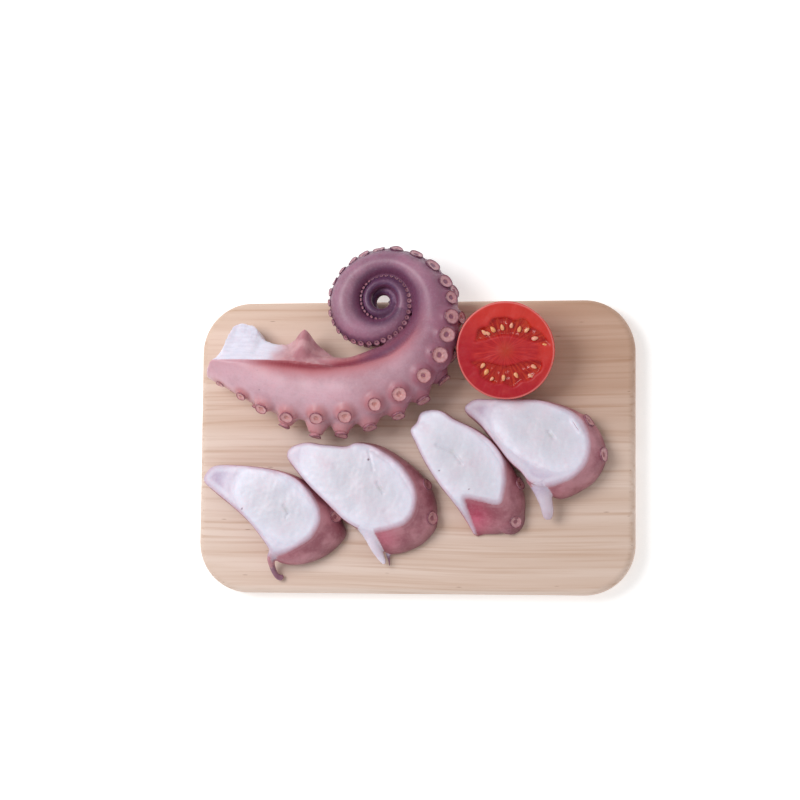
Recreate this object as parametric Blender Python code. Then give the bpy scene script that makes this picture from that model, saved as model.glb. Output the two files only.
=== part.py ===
"""Cooked octopus on a wooden board: a coiled arm piece, four slices cut from the
thick end of an arm, and half a tomato, all resting on the board they are served on.

Frame: origin at the centre of the board's underside, +X along the board, +Y towards
its back edge, +Z up. Lengths in the tables below are millimetres; MM turns them into
Blender's metres.
"""
import math

import bmesh
import bpy
from mathutils import Matrix, Vector

MM = 0.001
CREASE_ANGLE = 35.0      # degrees; edges sharper than this stay sharp

# board
BOARD_LENGTH = 260.0
BOARD_WIDTH = 174.0
BOARD_THICKNESS = 16.0
BOARD_CORNER_RADIUS = 30.0
BOARD_EDGE_RADIUS = 4.0

# everything on the board stands this far off its top face
CONTACT_GAP = 0.3

# arm: a spiral about the coil's eye, with values keyed by polar angle in degrees
COIL_EYE = (-18.0, 85.0)
ARM_START = 196.5
ARM_END = 1112.0
# distance from the eye to the arm's axis: a nearly straight thick end, then the coil
ARM_RADIUS = (
    (190, 110.3), (197, 97.0), (203, 88.8), (210, 81.9), (220, 74.0), (230, 67.0), (240, 61.4),
    (250, 57.0), (260, 53.0), (270, 49.2), (285, 45.0), (300, 41.4), (330, 36.2), (360, 31.0),
    (390, 27.4), (420, 24.7), (450, 22.6), (480, 21.3), (510, 21.4), (540, 22.0), (570, 21.8),
    (600, 19.9), (630, 17.3), (660, 15.2), (690, 13.5), (720, 12.8), (750, 12.7), (780, 12.2),
    (810, 11.0), (840, 9.9), (870, 9.0), (900, 8.2), (945, 7.2), (990, 6.5), (1035, 6.5),
    (1120, 6.9),
)
# half of the arm's thickness, measured level and measured upright
ARM_HALF_WIDTH = (
    (196, 19.8), (250, 19.4), (270, 18.6), (300, 15.4), (330, 12.4), (360, 10.3), (390, 8.7),
    (420, 7.8), (450, 7.4), (480, 7.8), (510, 8.3), (540, 8.8), (570, 8.7), (600, 8.1),
    (630, 7.2), (660, 6.0), (690, 4.9), (720, 3.9), (765, 3.5), (810, 3.0), (855, 2.8),
    (900, 2.5), (945, 2.2), (990, 1.8), (1035, 1.4), (1080, 1.1), (1120, 0.8),
)
ARM_HALF_HEIGHT = (
    (196, 19.8), (250, 19.4), (270, 19.0), (300, 17.0), (330, 15.0), (360, 13.5), (405, 11.5),
    (450, 10.0), (540, 9.2), (630, 7.5), (720, 5.2), (810, 3.9), (900, 3.0), (990, 2.1),
    (1080, 1.3), (1120, 1.0),
)
# extra thickness on the side facing the eye, where the next turn leans on it
ARM_INNER_SWELL = ((196, 0.0), (250, 0.5), (280, 2.6), (330, 2.6), (390, 0.8), (420, 0.0))
# height of the axis above the board
ARM_AXIS_HEIGHT = (
    (196, 19.9), (270, 19.7), (300, 19.3), (330, 18.5), (360, 17.5), (405, 16.2), (450, 15.5),
    (540, 14.5), (630, 15.0), (720, 15.5), (810, 16.0), (900, 16.0), (990, 15.0), (1035, 13.5),
    (1120, 9.0),
)
RING_SIDES = 16
RING_STEP = 9.0          # degrees between rings
BASE_END = 262.0         # the knife cut stays within the arm before this angle

# long slanting knife cut along the back of the thick end
CUT_POINT = (-80.0, 47.6, 38.0)
CUT_NORMAL = (0.02, 0.81, 0.586)

# torn sheet of skin and meat along the cut, its edges keyed by x: front edge, back edge, their heights
SHEET_STATIONS = (-115.0, -112.0, -110.3, -108.5, -106.5, -103.0, -97.0, -93.5, -90.5, -85.0, -78.0, -72.0,
                  -68.0, -65.0, -62.6, -60.0, -57.0, -52.0, -46.0, -38.0)
SHEET_FRONT = ((-116.5, 48.8), (-72, 48.0), (-50, 45.6), (-26, 43.0))
SHEET_FRONT_HEIGHT = ((-116.5, 33.5), (-110, 36.5), (-90, 37.5), (-72, 36.2), (-50, 33.4), (-26, 29.6))
SHEET_BACK = (
    (-116.5, 48.9), (-114.4, 50.2), (-111.9, 53.6), (-110.6, 58.5), (-109.6, 65.0), (-108.5, 69.1),
    (-106.9, 72.1), (-103.2, 73.4), (-99.5, 72.4), (-96.7, 72.1), (-93.9, 69.8), (-90.8, 64.6),
    (-85.6, 61.3), (-79.1, 59.6), (-74.2, 59.5), (-69.6, 62.0), (-66.8, 65.2), (-64.2, 67.5),
    (-62.6, 68.0), (-60.6, 66.4), (-58.5, 63.2), (-55.7, 59.4), (-51, 55.6), (-46.8, 53.2),
    (-40.3, 51.9), (-26, 51.5),
)
SHEET_BACK_HEIGHT = (
    (-116.5, 33.5), (-111.9, 30.0), (-110, 24.0), (-108.5, 17.0), (-105, 12.0), (-96.7, 12.0),
    (-90.8, 16.0), (-79, 19.0), (-70, 19.0), (-62, 19.5), (-52, 18.0), (-26, 14.0),
)
SHEET_THICKNESS = 8.0
SHEET_SOLID_TO = -89.0   # left of this the sheet reaches down to the board
SHEET_TUCK = 2.0         # its underside stands this much further forward

# suckers on the outside of the coil, one by one: polar angle, tilt up from level, stalk, radius
UPPER_ROW = (
    (201.0, 14, 1.6, 3.2), (209.4, 27, 3.0, 3.7), (217.2, 30, 4.1, 4.1), (226.1, 30, 4.4, 4.3),
    (238.1, 38, 4.3, 4.5), (250.6, 46, 4.3, 4.5), (265.1, 55, 4.3, 4.5), (279.7, 55, 4.3, 4.7),
    (297.1, 52, 4.2, 4.8), (313.6, 51, 4.2, 5.2), (327.6, 52, 3.9, 5.1), (340.5, 47, 3.8, 4.8),
    (355.9, 34, 3.0, 4.4), (371.0, 27, 2.5, 4.7), (390.5, 16, 2.1, 4.6), (410.0, 9, 2.0, 4.7),
    (431.5, 5, 1.9, 4.7), (451.5, 4, 1.8, 4.4), (469.5, 4, 1.8, 4.1), (486.0, 3, 1.7, 3.8),
    (502.0, 3, 1.6, 3.4), (517.5, 3, 1.5, 2.9), (530.5, 3, 1.4, 2.5),
)
LOWER_ROW = (
    (205.0, -12, 1.4, 3.2), (214.0, -8, 3.2, 3.7), (224.5, -3, 6.4, 4.0), (236.5, 0, 8.6, 4.2),
    (247.3, 1, 7.0, 4.3), (259.3, 9, 5.2, 4.3), (273.5, 12, 5.2, 4.4), (287.7, 5, 5.2, 4.4),
    (303.6, -8, 5.6, 4.4), (318.0, -6, 3.6, 4.2), (341.8, 10, 4.9, 4.4), (362.0, 6, 3.6, 4.2),
    (380.0, -6, 1.6, 4.2), (400.0, -16, 0.9, 4.2), (421.0, -22, 0.6, 4.1), (442.0, -26, 0.5, 4.0),
    (461.0, -26, 0.5, 3.8), (478.0, -26, 0.5, 3.6), (494.0, -26, 0.5, 3.2), (510.0, -26, 0.5, 2.8),
    (524.0, -24, 0.6, 2.4),
)
# the smaller ones follow at a spacing, with their tilts, stalk and radius keyed by the angle
SMALL_FIRST = 541.0
SMALL_LAST = 690.0
SMALL_SPACING = ((541, 5.2), (580, 4.9), (640, 4.5), (690, 4.2))
SMALL_UPPER_TILT = ((541, 3), (580, 14), (610, 30), (640, 42), (700, 44))
SMALL_LOWER_TILT = ((541, -16), (580, -12), (610, -2), (640, 4), (700, 4))
SMALL_STALK = ((541, 1.4), (620, 1.1), (700, 1.0))
SMALL_RADIUS = ((541, 2.3), (571, 2.1), (608, 1.85), (654, 1.6), (711, 1.35))
SMALL_STAGGER = 0.6
SUCKER_SIDES = 7
SUCKER_FACE_TURN = 11.0  # degrees that a sucker's face turns up from its stalk
SUCKER_ROOT_DEPTH = 0.25  # share of the arm's half width that a stalk starts below the skin
SUCKER_NECK = 0.85       # radius where the stalk starts, as a share of the sucker's

# slices: outline on top and at the foot, going round together; height of the top and its slope.
# Tails are runs of (x, y, height, half width, half thickness); suckers are (x, y, height), the
# direction each one faces, and its radius.
SLICES = {
    "slice_1": {
        "centre": (-84.0, -45.0), "height": 20.0, "slope": (0.0, 0.00),
        "outline": (
            (-40, 24), (-38.2, 29.5), (-32, 33), (-12, 32.3), (5.5, 29.5), (17, 24.5), (24.5, 16),
            (29.5, 6.5), (29.5, -1.5), (25, -9), (16, -15), (8.5, -18.5), (3.5, -19), (-1, -13),
            (-11, -0.5), (-22.5, 10), (-33.5, 18.5),
        ),
        "foot": (
            (-37.5, 22.5), (-36.5, 27), (-31, 31), (-11, 31), (7, 28), (19, 24), (30, 14.5),
            (40, 3.5), (45, -5.5), (42.5, -12), (32, -21), (18, -25.5), (6, -23.5), (1, -15.5),
            (-9.5, -2.5), (-21, 8), (-32, 16.5),
        ),
        "tails": (
            (
                (6, -15, 13, 4.5, 4), (3.2, -18.5, 12.5, 3.2, 4), (0.9, -22, 10, 2.1, 3.4),
                (0.5, -26, 7, 1.8, 2.6), (1.6, -30, 4.6, 1.7, 2), (3.8, -33.2, 3, 1.6, 1.7),
                (5.6, -33.6, 2.6, 1.4, 1.5), (5.7, -31.2, 3.2, 1.1, 1.2),
            ),
        ),
        "suckers": (
            ((-47, -42.2, 9), (0.72, 0.1, 0.68), 4.1),
        ),
    },
    "slice_2": {
        "centre": (-30.0, -31.0), "height": 20.0, "slope": (0.0, -0.03),
        "outline": (
            (-44, 24.5), (-41.5, 30), (-32, 32.5), (-22, 31), (-8, 30), (-2, 32), (9, 29.5),
            (21.5, 21), (29, 12), (33, 2.5), (32, -7.5), (27.5, -14), (19, -17.5), (10, -19.5),
            (4, -18.5), (-2, -17), (-9.5, -12), (-19.5, -2.5), (-29.5, 7), (-38.5, 17),
        ),
        "foot": (
            (-42, 23), (-40, 28), (-31, 30.5), (-21, 29.5), (-7, 29), (0, 31.5), (13, 29),
            (27, 20.5), (38, 11), (44, 0), (45, -12), (41, -23), (31, -30.5), (17, -33.5),
            (8, -25), (0, -17.5), (-7.5, -13.5), (-18, -4), (-28, 5.5), (-37, 15.5),
        ),
        "tails": (
            (
                (0, -12, 16.5, 6, 4), (4.5, -17.5, 16, 5, 3.6), (7, -23, 14.5, 3.9, 3.2),
                (9.2, -29, 11.5, 3.1, 2.6), (11.8, -34.5, 8, 2.4, 2.2),
                (13.8, -38.4, 5.6, 1.3, 1.5),
            ),
        ),
        "suckers": (
            ((9.6, -22.5, 10.5), (0.84, 0.42, 0.34), 4.2),
            ((13.2, -42.5, 10), (0.84, 0.05, 0.54), 4.7),
        ),
    },
    "slice_3": {
        "centre": (32.0, -15.0), "height": 20.0, "slope": (0.0, 0.00),
        "outline": (
            (-32, 23.7), (-28.5, 28), (-25.3, 34.3), (-15, 35), (-6.8, 30), (6, 23.8),
            (15.8, 16.5), (21.9, 8), (23.5, 0), (23.2, -9), (21.8, -16), (19, -18.5), (9.5, -17),
            (0, -16), (2.2, -26), (4.8, -36.6), (0.4, -29), (-5.5, -19.5), (-14.3, -8.5),
            (-22.7, 4.2), (-29, 16.8),
        ),
        "foot": (
            (-29.5, 22), (-27, 26.5), (-24, 32), (-14, 33), (-5.5, 28.5), (7, 22.5), (16.5, 14.5),
            (24.3, 4), (31.5, -7.5), (35, -16.5), (34.5, -27), (30, -34), (21, -37.5), (10, -38),
            (6, -38), (4.8, -37.6), (1.2, -29.5), (-4.2, -20), (-12.5, -9.5), (-21, 2.8),
            (-27.2, 15),
        ),
        "tails": (),
        "suckers": (
            ((64, -22, 9.5), (0.86, 0.36, 0.36), 4.2),
            ((61.6, -44.6, 9), (0.56, -0.24, 0.79), 4.1),
        ),
    },
    "slice_4": {
        "centre": (74.0, -4.5), "height": 19.0, "slope": (0.0, -0.16),
        "outline": (
            (-43, 26), (-41, 30), (-36, 32), (-28, 31.5), (-14, 31.5), (1.5, 30.5), (13, 26.5),
            (22.5, 21), (28, 13.5), (30, 5.5), (29.5, -2.5), (26, -9), (19.5, -14.5), (10, -18.5),
            (2.5, -19.5), (-4, -17), (-9, -11), (-16, -4.5), (-24, 5.5), (-33.5, 17),
        ),
        "foot": (
            (-41.5, 24), (-39.5, 28), (-35, 30), (-27, 29.8), (-13, 30), (3, 29.8), (16, 27),
            (26, 22.5), (34, 16), (39, 7), (40.5, -2), (37.2, -11.5), (30, -19.5), (14, -27),
            (5, -21.5), (-2.5, -17), (-7.5, -11.5), (-14.5, -5.5), (-22.5, 4), (-32, 15.5),
        ),
        "tails": (
            (
                (0, -14, 16, 7, 4), (2, -19, 15.5, 5.8, 3.6), (3.8, -24.5, 14, 4.8, 3.2),
                (5.4, -30, 12, 4.2, 2.8), (6, -35, 9.5, 3.5, 2.4), (6.1, -38.2, 7.5, 2.4, 1.6),
            ),
        ),
        "suckers": (
            ((105, 15.4, 11), (0.78, 0.56, 0.3), 4.6),
            ((111.8, -5.4, 9.5), (0.92, 0.08, 0.38), 4.8),
        ),
    },
}
SLICE_SPLINE_STEPS = 2
SLICE_STALK = 6.0
TAIL_SIDES = 8
# the top sinks towards the front end of a slice, to this share of its height
SLICE_SINK_FROM = -17.0
SLICE_SINK_TO = -36.0
SLICE_SINK_SHARE = 0.3

# half tomato, its cut face tilted to the front
TOMATO_CENTRE = (56.6, 54.0)
TOMATO_RADIUS = 28.6
TOMATO_FACE_HEIGHT = 27.0
TOMATO_SQUASH = 0.96
TOMATO_TILT = 12.0
TOMATO_SEGMENTS = 28


def clear_scene():
    for thing in list(bpy.data.objects):
        bpy.data.objects.remove(thing, do_unlink=True)


def material(name, colour, roughness, metallic=0.0):
    made = bpy.data.materials.new(name)
    made.use_nodes = True
    shader = made.node_tree.nodes["Principled BSDF"]
    shader.inputs["Base Color"].default_value = (*colour, 1.0)
    shader.inputs["Roughness"].default_value = roughness
    shader.inputs["Metallic"].default_value = metallic
    return made


def finish_object(name, mesh_maker, colour, roughness):
    """Turn a bmesh into a named object with its own material, smooth where round."""
    mesh = bpy.data.meshes.new(name)
    mesh_maker.to_mesh(mesh)
    mesh_maker.free()
    mesh.shade_smooth()
    mesh.set_sharp_from_angle(angle=math.radians(CREASE_ANGLE))
    made = bpy.data.objects.new(name, mesh)
    made.data.materials.append(material(name + "_finish", colour, roughness))
    bpy.context.scene.collection.objects.link(made)
    return made


def keyed(table, at):
    """Value of a keyed table at a given angle, on a curve that never overshoots a key."""
    at = min(max(at, table[0][0]), table[-1][0])
    index = 0
    while index < len(table) - 2 and at > table[index + 1][0]:
        index += 1
    slopes = []
    for key in range(len(table) - 1):
        slopes.append((table[key + 1][1] - table[key][1]) / (table[key + 1][0] - table[key][0]))

    def tangent(key):
        if key == 0:
            return slopes[0]
        if key == len(table) - 1:
            return slopes[-1]
        before, after = slopes[key - 1], slopes[key]
        if before * after <= 0.0:
            return 0.0
        return 2.0 * before * after / (before + after)

    span = table[index + 1][0] - table[index][0]
    t = (at - table[index][0]) / span
    start, end = table[index][1], table[index + 1][1]
    return (
        (2 * t**3 - 3 * t**2 + 1) * start
        + (t**3 - 2 * t**2 + t) * span * tangent(index)
        + (-2 * t**3 + 3 * t**2) * end
        + (t**3 - t**2) * span * tangent(index + 1)
    )


# ---- board ----

def build_board():
    bm = bmesh.new()
    bmesh.ops.create_cube(bm, size=1.0)
    size = Vector((BOARD_LENGTH, BOARD_WIDTH, BOARD_THICKNESS)) * MM
    bmesh.ops.scale(bm, vec=size, verts=bm.verts)
    bmesh.ops.translate(bm, vec=(0, 0, size.z / 2), verts=bm.verts)
    upright = [e for e in bm.edges if abs(e.verts[0].co.z - e.verts[1].co.z) > size.z / 2]
    bmesh.ops.bevel(bm, geom=upright, offset=BOARD_CORNER_RADIUS * MM, offset_type="OFFSET",
                    affect="EDGES", segments=9, profile=0.5, material=-1)
    rims = []
    for edge in bm.edges:
        level = abs(edge.verts[0].co.z - edge.verts[1].co.z) < 1e-6
        if level and any(abs(face.normal.z) > 0.9 for face in edge.link_faces):
            rims.append(edge)
    bmesh.ops.bevel(bm, geom=rims, offset=BOARD_EDGE_RADIUS * MM, offset_type="OFFSET",
                    affect="EDGES", segments=3, profile=0.5, material=-1)
    return finish_object("board", bm, (0.72, 0.56, 0.42), 0.55)


# ---- arm ----

def arm_axis(angle):
    radius = keyed(ARM_RADIUS, angle)
    turn = math.radians(angle)
    height = BOARD_THICKNESS + keyed(ARM_AXIS_HEIGHT, angle)
    return Vector((COIL_EYE[0] + radius * math.cos(turn), COIL_EYE[1] + radius * math.sin(turn), height))


def arm_frame(angle):
    """Axis point with its forward, outward and upward directions."""
    half_step = 0.05
    forward = (arm_axis(angle + half_step) - arm_axis(angle - half_step)).normalized()
    outward = forward.cross(Vector((0, 0, 1))).normalized()
    return arm_axis(angle), forward, outward, outward.cross(forward)


def ring_points(angle):
    centre, _forward, outward, upward = arm_frame(angle)
    half_width = keyed(ARM_HALF_WIDTH, angle)
    half_height = keyed(ARM_HALF_HEIGHT, angle)
    swell = keyed(ARM_INNER_SWELL, angle)
    floor = BOARD_THICKNESS + CONTACT_GAP
    points = []
    for side in range(RING_SIDES):
        around = 2 * math.pi * side / RING_SIDES
        reach = half_width + (swell if math.cos(around) < 0 else 0.0)
        point = centre + outward * (reach * math.cos(around)) + upward * (half_height * math.sin(around))
        point.z = max(point.z, floor)
        points.append(point * MM)
    return points


def sweep_arm(bm):
    count = round((ARM_END - ARM_START) / RING_STEP)
    angles = [ARM_START + (ARM_END - ARM_START) * k / count for k in range(count + 1)]
    rings = [[bm.verts.new(p) for p in ring_points(angle)] for angle in angles]
    for ring, following in zip(rings, rings[1:]):
        for side in range(RING_SIDES):
            other = (side + 1) % RING_SIDES
            bm.faces.new((ring[side], ring[other], following[other], following[side]))
    bm.faces.new(list(reversed(rings[0])))
    bm.faces.new(rings[-1])
    bmesh.ops.recalc_face_normals(bm, faces=bm.faces)
    base = [v for ring, angle in zip(rings, angles) if angle < BASE_END for v in ring]
    return base


def cut_thick_end(bm, base):
    """Slice the back of the thick end away along the slanting plane and close the cut."""
    chosen = set(base)
    faces = [f for f in bm.faces if all(v in chosen for v in f.verts)]
    edges = [e for e in bm.edges if all(v in chosen for v in e.verts)]
    point = Vector((CUT_POINT[0], CUT_POINT[1], CUT_POINT[2] + BOARD_THICKNESS)) * MM
    bmesh.ops.bisect_plane(bm, geom=base + edges + faces, plane_co=point,
                           plane_no=Vector(CUT_NORMAL).normalized(), clear_outer=True)
    open_edges = [e for e in bm.edges if e.is_boundary]
    bmesh.ops.holes_fill(bm, edges=open_edges, sides=0)
    bmesh.ops.recalc_face_normals(bm, faces=bm.faces)


def plain_object(name, bm):
    mesh = bpy.data.meshes.new(name)
    bm.to_mesh(mesh)
    bm.free()
    made = bpy.data.objects.new(name, mesh)
    made.hide_render = True
    made.display_type = "WIRE"
    bpy.context.scene.collection.objects.link(made)
    return made


def add_sucker(bm, root, face_centre, face_normal, radius):
    """A short flared stalk from inside the flesh out to the sucker's rim."""
    stem = (face_centre - root).length
    turn = Vector((0, 0, 1)).rotation_difference(face_normal).to_matrix().to_4x4()
    place = Matrix.Translation(face_centre * MM) @ turn
    made = bmesh.ops.create_cone(bm, cap_ends=True, cap_tris=False, segments=SUCKER_SIDES,
                                 radius1=radius * SUCKER_NECK * MM, radius2=radius * MM,
                                 depth=stem * MM, matrix=Matrix.Translation((0, 0, -stem * MM / 2)))
    shift = root * MM - place @ Vector((0, 0, -stem * MM))
    bmesh.ops.transform(bm, matrix=place, verts=made["verts"])
    low = [v for v in made["verts"] if (v.co - face_centre * MM).dot(face_normal) < -stem * MM / 2]
    bmesh.ops.translate(bm, vec=shift, verts=low)


def small_suckers():
    """Rows of the smaller suckers, a spacing apart along the axis."""
    rows = []
    angle = SMALL_FIRST
    while angle < SMALL_LAST:
        speed = (arm_axis(angle + 0.5) - arm_axis(angle - 0.5)).length
        following = angle + keyed(SMALL_SPACING, angle) / speed
        for tilts, shift in ((SMALL_UPPER_TILT, 0.0), (SMALL_LOWER_TILT, SMALL_STAGGER)):
            at = angle + (following - angle) * shift
            rows.append((at, keyed(tilts, at), keyed(SMALL_STALK, at), keyed(SMALL_RADIUS, at)))
        angle = following
    return rows


def build_sucker_cutter():
    bm = bmesh.new()
    for at, tilt, stalk, radius in (*UPPER_ROW, *LOWER_ROW, *small_suckers()):
        centre, _forward, outward, upward = arm_frame(at)
        tilt = math.radians(tilt)
        half_width = keyed(ARM_HALF_WIDTH, at)
        half_height = keyed(ARM_HALF_HEIGHT, at)
        skin = 1.0 / math.hypot(math.cos(tilt) / half_width, math.sin(tilt) / half_height)
        ray = outward * math.cos(tilt) + upward * math.sin(tilt)
        facing = tilt + math.radians(SUCKER_FACE_TURN)
        normal = outward * math.cos(facing) + upward * math.sin(facing)
        root = centre + ray * (skin - SUCKER_ROOT_DEPTH * half_width)
        add_sucker(bm, root, centre + ray * (skin + stalk), normal, radius)
    return plain_object("sucker_guide", bm)


def loft(bm, rings):
    """Close a run of equal rings of points into one skin with flat ends."""
    made = [[bm.verts.new(Vector(p) * MM) for p in ring] for ring in rings]
    for ring, following in zip(made, made[1:]):
        for side in range(len(ring)):
            other = (side + 1) % len(ring)
            bm.faces.new((ring[side], ring[other], following[other], following[side]))
    bm.faces.new(list(reversed(made[0])))
    bm.faces.new(made[-1])


def build_sheet_cutter():
    bm = bmesh.new()
    rings = []
    for x in SHEET_STATIONS:
        front, back = keyed(SHEET_FRONT, x), keyed(SHEET_BACK, x)
        high = BOARD_THICKNESS + keyed(SHEET_FRONT_HEIGHT, x)
        low = BOARD_THICKNESS + keyed(SHEET_BACK_HEIGHT, x)
        under = low - SHEET_THICKNESS
        if x < SHEET_SOLID_TO:
            under = BOARD_THICKNESS + 2 * CONTACT_GAP
        rings.append(((x, front, high), (x, (front + back) / 2, (high + low) / 2), (x, back, low),
                      (x, back - SHEET_TUCK, under), (x, front - SHEET_TUCK, under)))
    loft(bm, rings)
    bmesh.ops.recalc_face_normals(bm, faces=bm.faces)
    return plain_object("sheet_guide", bm)


def union(body, addition):
    joined = body.modifiers.new("join_" + addition.name, "BOOLEAN")
    joined.operation = "UNION"
    joined.solver = "EXACT"
    joined.use_self = True
    joined.object = addition


def build_arm():
    bm = bmesh.new()
    base = sweep_arm(bm)
    cut_thick_end(bm, base)
    arm = finish_object("octopus_arm", bm, (0.62, 0.33, 0.36), 0.4)
    union(arm, build_sucker_cutter())
    union(arm, build_sheet_cutter())
    return arm


# ---- slices ----

def spline_outline(points):
    """Closed curve through the outline's points, as a list of 2-D vectors."""
    smooth = []
    count = len(points)
    for index in range(count):
        p0, p1, p2, p3 = (Vector(points[(index + k) % count]) for k in (-1, 0, 1, 2))
        for step in range(SLICE_SPLINE_STEPS):
            t = step / SLICE_SPLINE_STEPS
            smooth.append(0.5 * (2 * p1 + (p2 - p0) * t + (2 * p0 - 5 * p1 + 4 * p2 - p3) * t**2
                                 + (3 * p1 - p0 - 3 * p2 + p3) * t**3))
    return smooth


def slice_top(plan, point):
    """Height of a slice's top above the board over a point of its plan."""
    sunk = min(max((SLICE_SINK_FROM - point.y) / (SLICE_SINK_FROM - SLICE_SINK_TO), 0.0), 1.0)
    return (plan["height"] + Vector(plan["slope"]).dot(point)) * (1.0 - (1.0 - SLICE_SINK_SHARE) * sunk)


def add_tail(bm, centre, tail):
    """A limp strip of skin along its own middle line."""
    floor = BOARD_THICKNESS + CONTACT_GAP
    middles = [Vector((centre.x + x, centre.y + y, BOARD_THICKNESS + z)) for x, y, z, _wide, _thick in tail]
    rings = []
    for index, (_x, _y, _z, wide, thick) in enumerate(tail):
        ahead, behind = middles[min(index + 1, len(tail) - 1)], middles[max(index - 1, 0)]
        along = (ahead - behind).normalized()
        across = along.cross(Vector((0, 0, 1))).normalized()
        ring = []
        for side in range(TAIL_SIDES):
            around = 2 * math.pi * side / TAIL_SIDES
            point = middles[index] + across * (wide * math.cos(around))
            point += across.cross(along) * (thick * math.sin(around))
            ring.append((point.x, point.y, max(point.z, floor)))
        rings.append(ring)
    loft(bm, rings)


def build_slice(name, plan):
    bm = bmesh.new()
    centre = Vector(plan["centre"])
    foot = BOARD_THICKNESS + CONTACT_GAP
    low = [(*(centre + p), foot) for p in spline_outline(plan["foot"])]
    high = [(*(centre + p), BOARD_THICKNESS + slice_top(plan, p)) for p in spline_outline(plan["outline"])]
    loft(bm, (low, high))
    bmesh.ops.recalc_face_normals(bm, faces=bm.faces)
    made = finish_object(name, bm, (0.86, 0.84, 0.87), 0.35)
    guide = bmesh.new()
    for place, facing, radius in plan["suckers"]:
        face_centre = Vector(place) + Vector((0, 0, BOARD_THICKNESS))
        normal = Vector(facing).normalized()
        add_sucker(guide, face_centre - normal * SLICE_STALK, face_centre, normal, radius)
    union(made, plain_object(name + "_sucker_guide", guide))
    if plan["tails"]:
        guide = bmesh.new()
        for tail in plan["tails"]:
            add_tail(guide, centre, tail)
        bmesh.ops.recalc_face_normals(guide, faces=guide.faces)
        union(made, plain_object(name + "_tail_guide", guide))
    return made


# ---- tomato ----

def build_tomato():
    bm = bmesh.new()
    bmesh.ops.create_uvsphere(bm, u_segments=TOMATO_SEGMENTS, v_segments=TOMATO_SEGMENTS // 2,
                              radius=TOMATO_RADIUS * MM)
    bmesh.ops.scale(bm, vec=(1, 1, TOMATO_SQUASH), verts=bm.verts)
    bmesh.ops.bisect_plane(bm, geom=bm.verts[:] + bm.edges[:] + bm.faces[:], plane_co=(0, 0, 0.6 * MM),
                           plane_no=(0, 0, 1), clear_outer=True)
    bmesh.ops.rotate(bm, matrix=Matrix.Rotation(math.radians(TOMATO_TILT), 3, "X"), verts=bm.verts)
    centre = Vector((*TOMATO_CENTRE, BOARD_THICKNESS + TOMATO_FACE_HEIGHT)) * MM
    bmesh.ops.translate(bm, vec=centre, verts=bm.verts)
    foot = (0, 0, (BOARD_THICKNESS + CONTACT_GAP) * MM)
    bmesh.ops.bisect_plane(bm, geom=bm.verts[:] + bm.edges[:] + bm.faces[:], plane_co=foot,
                           plane_no=(0, 0, 1), clear_inner=True)
    bmesh.ops.holes_fill(bm, edges=[e for e in bm.edges if e.is_boundary], sides=0)
    bmesh.ops.recalc_face_normals(bm, faces=bm.faces)
    return finish_object("tomato_half", bm, (0.72, 0.05, 0.04), 0.3)


def main():
    clear_scene()
    build_board()
    build_arm()
    for name, plan in SLICES.items():
        build_slice(name, plan)
    build_tomato()


main()
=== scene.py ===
import math
import random

import bmesh
import bpy
from mathutils import Matrix, Vector, noise
from mathutils.bvhtree import BVHTree
from mathutils.kdtree import KDTree


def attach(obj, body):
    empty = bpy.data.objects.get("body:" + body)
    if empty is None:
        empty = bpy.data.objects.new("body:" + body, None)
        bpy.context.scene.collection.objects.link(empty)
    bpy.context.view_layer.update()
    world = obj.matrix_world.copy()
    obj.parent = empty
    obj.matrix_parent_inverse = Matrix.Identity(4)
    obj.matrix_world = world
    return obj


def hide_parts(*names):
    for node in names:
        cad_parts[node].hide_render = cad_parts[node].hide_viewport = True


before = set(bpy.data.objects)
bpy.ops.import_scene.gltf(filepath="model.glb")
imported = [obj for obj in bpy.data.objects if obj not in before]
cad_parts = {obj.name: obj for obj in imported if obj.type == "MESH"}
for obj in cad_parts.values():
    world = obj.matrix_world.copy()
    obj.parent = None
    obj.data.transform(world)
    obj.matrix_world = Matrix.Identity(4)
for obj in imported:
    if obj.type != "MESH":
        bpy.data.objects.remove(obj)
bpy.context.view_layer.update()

mm = 0.001
boardTop = 16.0     # everything is served on this level
footLevel = 16.3    # food starts this far above the board's underside
upAxis = Vector((0, 0, 1))


def keyed(table, at):
    # smooth curve through a table of pairs that never overshoots one of them
    at = min(max(at, table[0][0]), table[-1][0])
    index = 0
    while index < len(table) - 2 and at > table[index + 1][0]:
        index += 1

    def slope(k):
        return (table[k + 1][1] - table[k][1]) / (table[k + 1][0] - table[k][0])

    def tangent(k):
        if k == 0:
            return slope(0)
        if k == len(table) - 1:
            return slope(k - 1)
        before, after = slope(k - 1), slope(k)
        return 0.0 if before * after <= 0 else 2 * before * after / (before + after)

    span = table[index + 1][0] - table[index][0]
    t = (at - table[index][0]) / span
    return ((2 * t**3 - 3 * t**2 + 1) * table[index][1] + (t**3 - 2 * t**2 + t) * span * tangent(index)
            + (3 * t**2 - 2 * t**3) * table[index + 1][1] + (t**3 - t**2) * span * tangent(index + 1))


def fade(value, low, high):
    # 0 at low, 1 at high, eased between; low may be the larger one
    t = min(max((value - low) / (high - low), 0.0), 1.0)
    return t * t * (3 - 2 * t)


def hump(value, width):
    return math.exp(-(value / width) ** 2)


def softFloor(z, level, softness=0.5):
    # rests on the level without a hard crease
    gap = (z - level) / softness
    return z if gap > 20 else level + softness * math.log1p(math.exp(gap))


lightLevel = 0.90   # what a white sheet lying on the board would show


def hue(red, green, blue):
    # a colour as it looks under the studio light, 0 to 255, as the linear colour a shader takes
    return tuple(min(((c / 255 + 0.055) / 1.055) ** 2.4 / lightLevel, 0.98)
                 for c in (red, green, blue)) + (1.0,)


def newMaterial(name, **settings):
    made = bpy.data.materials.new(name)
    made.use_nodes = True
    shader = made.node_tree.nodes["Principled BSDF"]
    for socket, value in settings.items():
        shader.inputs[socket].default_value = value
    return made, made.node_tree, shader


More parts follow.
